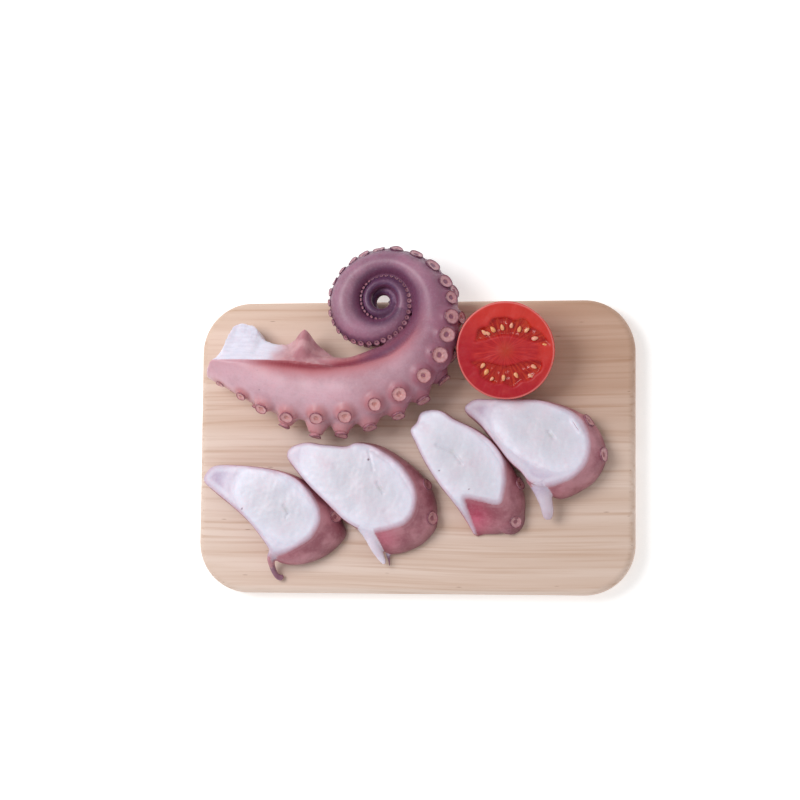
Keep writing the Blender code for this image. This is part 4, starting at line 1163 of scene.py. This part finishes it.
def sliceMaterial(name):
    made, tree, shader = newMaterial(name, Roughness=0.4)
    shader.inputs["Specular IOR Level"].default_value = 0.42
    shader.inputs["Subsurface Weight"].default_value = 0.25
    shader.inputs["Subsurface Radius"].default_value = (1.0, 0.6, 0.6)
    shader.inputs["Subsurface Scale"].default_value = 0.0025
    shader.inputs["Coat Weight"].default_value = 0.12
    shader.inputs["Coat Roughness"].default_value = 0.25
    place = objectPlace(tree)
    depth, muscle, core = value(tree, "depth"), value(tree, "muscle"), value(tree, "core")
    rim, notch, spot = value(tree, "rim"), value(tree, "notch"), value(tree, "spot")
    tail, tailTint = value(tree, "tail"), value(tree, "tailTint")
    cloud = grain(tree, place, 90.0, 3.0)
    fine = grain(tree, place, 700.0, 3.0, 0.6)
    warp = calc(tree, "MULTIPLY_ADD", cloud, 0.24, -0.12)
    ringed = calc(tree, "ADD", muscle, warp)
    # white muscle with soft greyer zones, and a lilac margin outside it
    meat = ramp(tree, ringed, (0.0, hue(206, 204, 214)), (0.38, hue(208, 206, 217)), (0.66, hue(214, 212, 224)),
                (0.86, hue(222, 220, 234)), (0.95, hue(224, 222, 236)), (1.0, hue(214, 210, 226)))
    outer = mix(tree, ease(tree, ringed, 1.0, 1.4), hue(212, 205, 222), hue(180, 164, 189))
    outer = mix(tree, ease(tree, rim, 5.5, 3.0, 0.0, 0.6), outer, hue(222, 217, 230))
    meat = mix(tree, ease(tree, ringed, 0.96, 1.06), meat, outer)
    meat = mix(tree, ease(tree, cloud, 0.5, 0.7, 0.0, 0.5), meat, hue(223, 221, 235))
    meat = mix(tree, ease(tree, rim, 2.6, 0.2, 0.0, 0.7), meat, hue(192, 160, 178))
    meat = mix(tree, ease(tree, fine, 0.4, 0.7, 0.0, 0.14), meat, hue(228, 226, 238))
    meat = mix(tree, ease(tree, cloud, 0.56, 0.3, 0.0, 0.28), meat, hue(190, 187, 202))
    middle = ease(tree, calc(tree, "ADD", core, calc(tree, "MULTIPLY", fine, 1.2)), 2.9, 0.9, 0.0, 0.55)
    meat = mix(tree, middle, meat, hue(196, 196, 198))
    meat = mix(tree, spot, meat, hue(104, 62, 84))
    # skin on the wall, lighter just under the top rim; the darkening towards the foot on the board is painted shade
    patch = grain(tree, place, 75.0, 4.0, 0.55)
    wall = mix(tree, ease(tree, patch, 0.32, 0.66), hue(184, 126, 136), hue(146, 84, 96))
    wall = mix(tree, ease(tree, depth, 7.0, 3.0, 0.0, 0.45), wall, hue(188, 138, 148))
    wall = mix(tree, ease(tree, depth, 11.0, 21.0, 0.0, 0.6), wall, hue(98, 54, 72))
    inner = mix(tree, ease(tree, patch, 0.3, 0.7), hue(196, 92, 120), hue(160, 50, 78))
    wall = mix(tree, notch, wall, inner)
    wall = mix(tree, ease(tree, fine, 0.45, 0.75, 0.0, 0.15), wall, hue(204, 160, 168))
    strand = mix(tree, tailTint, hue(230, 222, 236), hue(128, 82, 102))
    strand = mix(tree, ease(tree, patch, 0.4, 0.65, 0.0, 0.25), strand, hue(184, 152, 172))
    edge = ease(tree, calc(tree, "ADD", depth, calc(tree, "MULTIPLY_ADD", cloud, 4.4, -2.2)), -0.6, 4.4)
    meat = mix(tree, tail, meat, strand)
    feed(tree, shader.inputs["Base Color"], mix(tree, edge, meat, wall))
    feed(tree, shader.inputs["Roughness"], ease(tree, fine, 0.3, 0.7, 0.34, 0.5))
    bump = relief(tree, cloud, 0.2, 0.0015)
    feed(tree, shader.inputs["Normal"], relief(tree, fine, 0.25, 0.0003, bump))
    return made


def makeSlice(name, plan, suckerLook):
    bm = bmesh.new()
    samples = addSliceBody(bm, plan)
    places = slicePlaces(plan, BVHTree.FromBMesh(bm))
    tailPoints = [row for tint, tail in plan["tails"] for row in addTail(bm, plan, tint, tail)]
    addStalks(bm, places)
    bm = fused(bm, sliceShape["voxel"], sliceShape["softening"])
    ringTree = KDTree(len(samples))
    for n, sample in enumerate(samples):
        ringTree.insert(sample[0], n)
    ringTree.balance()
    rimPoints = [s for s in samples if s[1] == 1.0]
    rimTree = KDTree(len(rimPoints))
    for n, sample in enumerate(rimPoints):
        rimTree.insert((sample[0].x, sample[0].y, 0), n)
    rimTree.balance()
    tailTree = KDTree(max(len(tailPoints), 1))
    for n, p in enumerate(tailPoints):
        tailTree.insert(p[0], n)
    tailTree.balance()
    centre = Vector((*plan["centre"], 0))

    def fromRim(point):
        # distance in from the top's edge, negative outside it
        co, n, gap = rimTree.find((point.x, point.y, 0))
        out = rimPoints[n][3]
        inside = -((point.x - co.x) * out.x + (point.y - co.y) * out.y)
        return inside if gap < 4 else math.copysign(gap, inside)

    for v in bm.verts:
        point = v.co / mm
        inside = fromRim(point)
        x, y = point.x - centre.x, point.y - centre.y
        if inside < -1 or point.z < topLevel(plan, x, y) - 3:
            continue
        ringed = muscleShare(plan, x, y)
        lift = 0.9 * (1 - min(ringed, 1.0) ** 3) - 0.35 * hump(ringed - 1.02, 0.08)
        lift += 0.5 * noise.noise(Vector((x * 0.10, y * 0.10, 3.0)))
        lift += 0.13 * noise.noise(Vector((x * 0.4, y * 0.4, 7.0)))
        for x0, y0, x1, y1, width, deep in plan["creases"]:
            lift -= deep * hump(gapToLine(x, y, x0, y0, x1, y1), width)
        v.co.z += lift * fade(inside, -1.0, 2.0) * mm

    def reader(point, vert):
        inside = fromRim(point)
        x, y = point.x - centre.x, point.y - centre.y
        top = topLevel(plan, x, y)
        share = samples[ringTree.find(point)[1]][1]
        onTop = point.z > top - 3.5 and inside > -1.5
        depth = max(0.0, -inside * 1.6 + 0.6) if onTop and inside < 0.6 else 0.0 if onTop else 3.0 + 19 * (1 - share)
        if onTop:
            depth = max(depth, 6 * fade(vert.normal.z, 0.6, 0.1))
        core = math.hypot(x - plan["core"][0], y - plan["core"][1])
        notchX, notchY, reach, force = plan["notch"]
        notch = force * hump(math.hypot(x - notchX, y - notchY), reach)
        spot = max([fade(math.hypot(x - sx, y - sy), size, size * 0.4) for sx, sy, size in plan["spots"]] or [0])
        tail, tint, edgeLess = 0.0, 0.0, 0.0
        if tailPoints:
            _co, n, gap = tailTree.find(point)
            _middle, wide, along, tint = tailPoints[n]
            near = fade(gap, wide + 1.6, wide + 0.3)
            tail = near * fade(along, 0.12, 0.5 if tint < 1 else 0.35)
            edgeLess = near * fade(along, 0.1, 0.2) * fade(vert.normal.z, -0.3, 0.3)
            if tint > 1:
                edgeLess = near
        depth *= 1 - edgeLess
        return (depth, muscleShare(plan, x, y), core, max(inside, 0.0) + 6 * edgeLess, notch * (1 - edgeLess),
                spot, tail, tint)

    setValues(bm, ("depth", "muscle", "core", "rim", "notch", "spot", "tail", "tailTint"), reader)
    finish(name, bm, sliceMaterial(name + "Look"), plan["node"])
    bm = bmesh.new()
    layers = [bm.verts.layers.float.new(n) for n in ("cup", "tone", "tint")]
    for p in places:
        addSucker(bm, p, layers, 28, suckers["profile"], 0.35)
    finish(name + "Suckers", bm, suckerLook, plan["node"])


sliceSuckerLook = suckerMaterial()
for sliceName, slicePlan in slices.items():
    makeSlice(sliceName, slicePlan, sliceSuckerLook)


tomato = {
    "centre": (56.6, 54.0),
    "radius": 28.6,
    "faceHeight": 27.0,
    "squash": 0.96,
    "tilt": 12.0,
    "rings": 56,
    "steps": 144,
    "seedSize": (1.9, 1.15, 0.8),
    # across and up the cut face in shares of its radius, then size and tint
    "seeds": (
        (-0.43, 0.37, 1.0, 0.3), (-0.36, 0.35, 0.9, 0.2), (-0.25, 0.43, 1.1, 0.8), (-0.06, 0.47, 1.0, 0.6),
        (0.13, 0.51, 0.9, 0.1), (0.29, 0.43, 1.0, 0.8), (0.44, 0.41, 1.0, 0.5), (0.60, 0.24, 1.1, 0.1),
        (0.33, 0.12, 0.6, 0.7), (0.80, 0.10, 1.0, 0.9), (-0.47, -0.31, 1.0, 0.5), (-0.40, -0.44, 1.1, 0.9),
        (-0.05, -0.56, 1.0, 0.6), (0.21, -0.51, 1.0, 0.6), (0.57, -0.335, 1.0, 0.3), (0.50, -0.52, 0.9, 0.2),
        (-0.29, -0.58, 0.8, 0.3),
    ),
}


def chamber(u, v):
    # 1 in the seed chambers of the cut face, 0 on its walls
    r, a = math.hypot(u, v), math.degrees(math.atan2(v, u))
    wobble = 0.03 * math.sin(a * 0.14) + 0.02 * math.sin(a * 0.23 + 1.0)
    upper = fade(v, 0.16 + 0.12 * hump(u, 0.35) - 0.08 * fade(u, 0.4, 0.8), 0.24 + 0.12 * hump(u, 0.35) - 0.06 * fade(u, 0.4, 0.8))
    upper *= fade(r, keyed(((0, 0.92), (20, 0.84), (50, 0.72), (90, 0.66), (180, 0.64)), a) + wobble + 0.04,
                  keyed(((0, 0.92), (20, 0.84), (50, 0.72), (90, 0.66), (180, 0.64)), a) + wobble - 0.04) if v > 0 else 0
    lower = fade(-v, 0.18 + 0.10 * hump(u, 0.3), 0.26 + 0.10 * hump(u, 0.3))
    lower *= fade(r, 0.70 + 0.08 * fade(u, 0.1, 0.6) + wobble + 0.04, 0.70 + 0.08 * fade(u, 0.1, 0.6) + wobble - 0.04) if v < 0 else 0
    return max(upper, lower)


def tomatoMaterial():
    made, tree, shader = newMaterial("ripeTomato", Roughness=0.28)
    shader.inputs["Specular IOR Level"].default_value = 0.35
    shader.inputs["Subsurface Weight"].default_value = 0.25
    shader.inputs["Subsurface Radius"].default_value = (1.0, 0.25, 0.12)
    shader.inputs["Subsurface Scale"].default_value = 0.003
    place = objectPlace(tree)
    u, v = value(tree, "faceU"), value(tree, "faceV")
    gel, onFace, radial = value(tree, "gel"), value(tree, "onFace"), value(tree, "radial")
    flat = put(tree, "CombineXYZ")
    feed(tree, flat.inputs[0], u)
    feed(tree, flat.inputs[1], v)
    polar = put(tree, "Math", operation="ARCTAN2")
    feed(tree, polar.inputs[0], v)
    feed(tree, polar.inputs[1], u)
    spokes = put(tree, "CombineXYZ")
    feed(tree, spokes.inputs[0], calc(tree, "MULTIPLY", polar.outputs[0], 5.0))
    feed(tree, spokes.inputs[1], radial)
    streak = grain(tree, spokes.outputs[0], 2.2, 3.0, 0.6)
    patch = grain(tree, flat.outputs[0], 4.0, 4.0, 0.6)
    warm = calc(tree, "ADD", calc(tree, "MULTIPLY", u, 0.45), calc(tree, "MULTIPLY", v, 0.75))
    wall = mix(tree, ease(tree, warm, -0.5, 0.6), hue(170, 12, 32), hue(198, 46, 36))
    wall = mix(tree, ease(tree, patch, 0.45, 0.75, 0.0, 0.3), wall, hue(190, 62, 54))
    inside = mix(tree, ease(tree, streak, 0.35, 0.75), hue(168, 12, 26), hue(196, 46, 42))
    face = mix(tree, ease(tree, radial, 0.74, 0.60), wall, inside)
    heart = ease(tree, calc(tree, "ADD", radial, calc(tree, "MULTIPLY", streak, 0.25)), 0.40, 0.10, 0.0, 0.85)
    face = mix(tree, heart, face, hue(180, 52, 26))
    pulp = mix(tree, ease(tree, streak, 0.4, 0.7), hue(158, 18, 20), hue(192, 60, 34))
    face = mix(tree, gel, face, pulp)
    face = mix(tree, ease(tree, radial, 0.95, 0.985), face, hue(214, 116, 112))
    skin = mix(tree, ease(tree, patch, 0.3, 0.7), hue(186, 30, 30), hue(204, 44, 34))
    feed(tree, shader.inputs["Base Color"], mix(tree, onFace, skin, face))
    feed(tree, shader.inputs["Roughness"], ease(tree, gel, 0.0, 1.0, 0.42, 0.16))
    bump = relief(tree, streak, 0.3, 0.0008)
    feed(tree, shader.inputs["Normal"], relief(tree, grain(tree, place, 500.0, 3.0), 0.25, 0.0003, bump))
    return made


def tomatoPlace():
    centre = Vector((*tomato["centre"], boardTop + tomato["faceHeight"])) * mm
    return Matrix.Translation(centre) @ Matrix.Rotation(math.radians(tomato["tilt"]), 4, "X")


def makeTomato():
    bm = bmesh.new()
    radius = tomato["radius"]
    rings = tomato["rings"]
    profile = [(radius * 0.985 * n / rings, 0.6) for n in range(rings + 1)]
    profile += [(radius * 0.996, 0.35)]
    for n in range(37):
        down = math.pi / 2 * n / 36
        profile.append((radius * math.cos(down), -radius * tomato["squash"] * math.sin(down)))
    profile[-1] = (0.0, profile[-1][1])
    layers = [bm.verts.layers.float.new(n) for n in ("faceU", "faceV", "gel", "onFace", "radial")]
    placed = turned(bm, [(r * mm, z * mm) for r, z in profile], tomato["steps"], tomatoPlace())
    normal = tomatoPlace().to_3x3() @ upAxis
    for v, local in placed:
        u, w = local.x / (radius * mm), local.y / (radius * mm)
        r = math.hypot(u, w)
        onFace = local.z > 0.5 * mm
        gel = chamber(u, w) if onFace else 0.0
        v[layers[0]], v[layers[1]], v[layers[2]] = u, w, gel
        v[layers[3]] = 1.0 if onFace else 0.0
        v[layers[4]] = r
        if onFace:
            drop = 1.7 * gel + 0.25 * (1 - hump(r, 0.2)) * fade(r, 0.6, 0.3)
            drop -= 0.35 * noise.noise(Vector((u * 5, w * 5, 1.0))) * (1 + gel)
            drop -= 0.9 * gel * max(noise.noise(Vector((u * 9, w * 9, 4.0))), 0)
            v.co -= normal * (drop * fade(r, 0.99, 0.9) * mm)
        else:
            lobes = 0.006 * math.sin(5 * math.atan2(w, u) + 0.4) * r
            v.co += (v.co - tomatoPlace().translation) * min(lobes, 0.0)
        v.co.z = softFloor(v.co.z / mm, footLevel, 0.3) * mm
    return finish("tomatoHalf", bm, tomatoMaterial(), "tomato_half")


def seedMaterial():
    made, tree, shader = newMaterial("tomatoSeeds", Roughness=0.22)
    shader.inputs["Subsurface Weight"].default_value = 0.3
    shader.inputs["Subsurface Radius"].default_value = (1.0, 0.5, 0.2)
    shader.inputs["Subsurface Scale"].default_value = 0.001
    spread = grain(tree, objectPlace(tree), 900.0, 2.0)
    tint = value(tree, "tint")
    seed = mix(tree, tint, hue(222, 150, 136), hue(218, 140, 74))
    seed = mix(tree, ease(tree, spread, 0.35, 0.65, 0.0, 0.5), seed, hue(232, 178, 130))
    feed(tree, shader.inputs["Base Color"], seed)
    feed(tree, shader.inputs["Normal"], relief(tree, spread, 0.2, 0.0002))
    return made


def makeSeeds():
    bm = bmesh.new()
    tint = bm.verts.layers.float.new("tint")
    chance = random.Random(3)
    for u, w, size, shade in tomato["seeds"]:
        made = bmesh.ops.create_uvsphere(bm, u_segments=14, v_segments=9, radius=1.0 * mm)["verts"]
        long, wide, thick = (side * size for side in tomato["seedSize"])
        for v in made:
            v.co.y *= wide * (1 - 0.28 * v.co.x / mm)
            v.co.x *= long
            v.co.z *= thick
            v[tint] = min(max(shade + chance.uniform(-0.1, 0.1), 0), 1)
        turn = math.atan2(w, u) + chance.uniform(-0.35, 0.35)
        spot = Vector((u, w, 0)) * tomato["radius"] + Vector((0, 0, 0.6 - 0.9))
        place = tomatoPlace() @ Matrix.Translation(spot * mm) @ Matrix.Rotation(turn, 4, "Z")
        place = place @ Matrix.Rotation(chance.uniform(-0.3, 0.3), 4, "X")
        bmesh.ops.transform(bm, matrix=place, verts=made)
    return finish("tomatoSeeds", bm, seedMaterial(), "tomato_half")


makeTomato()
makeSeeds()
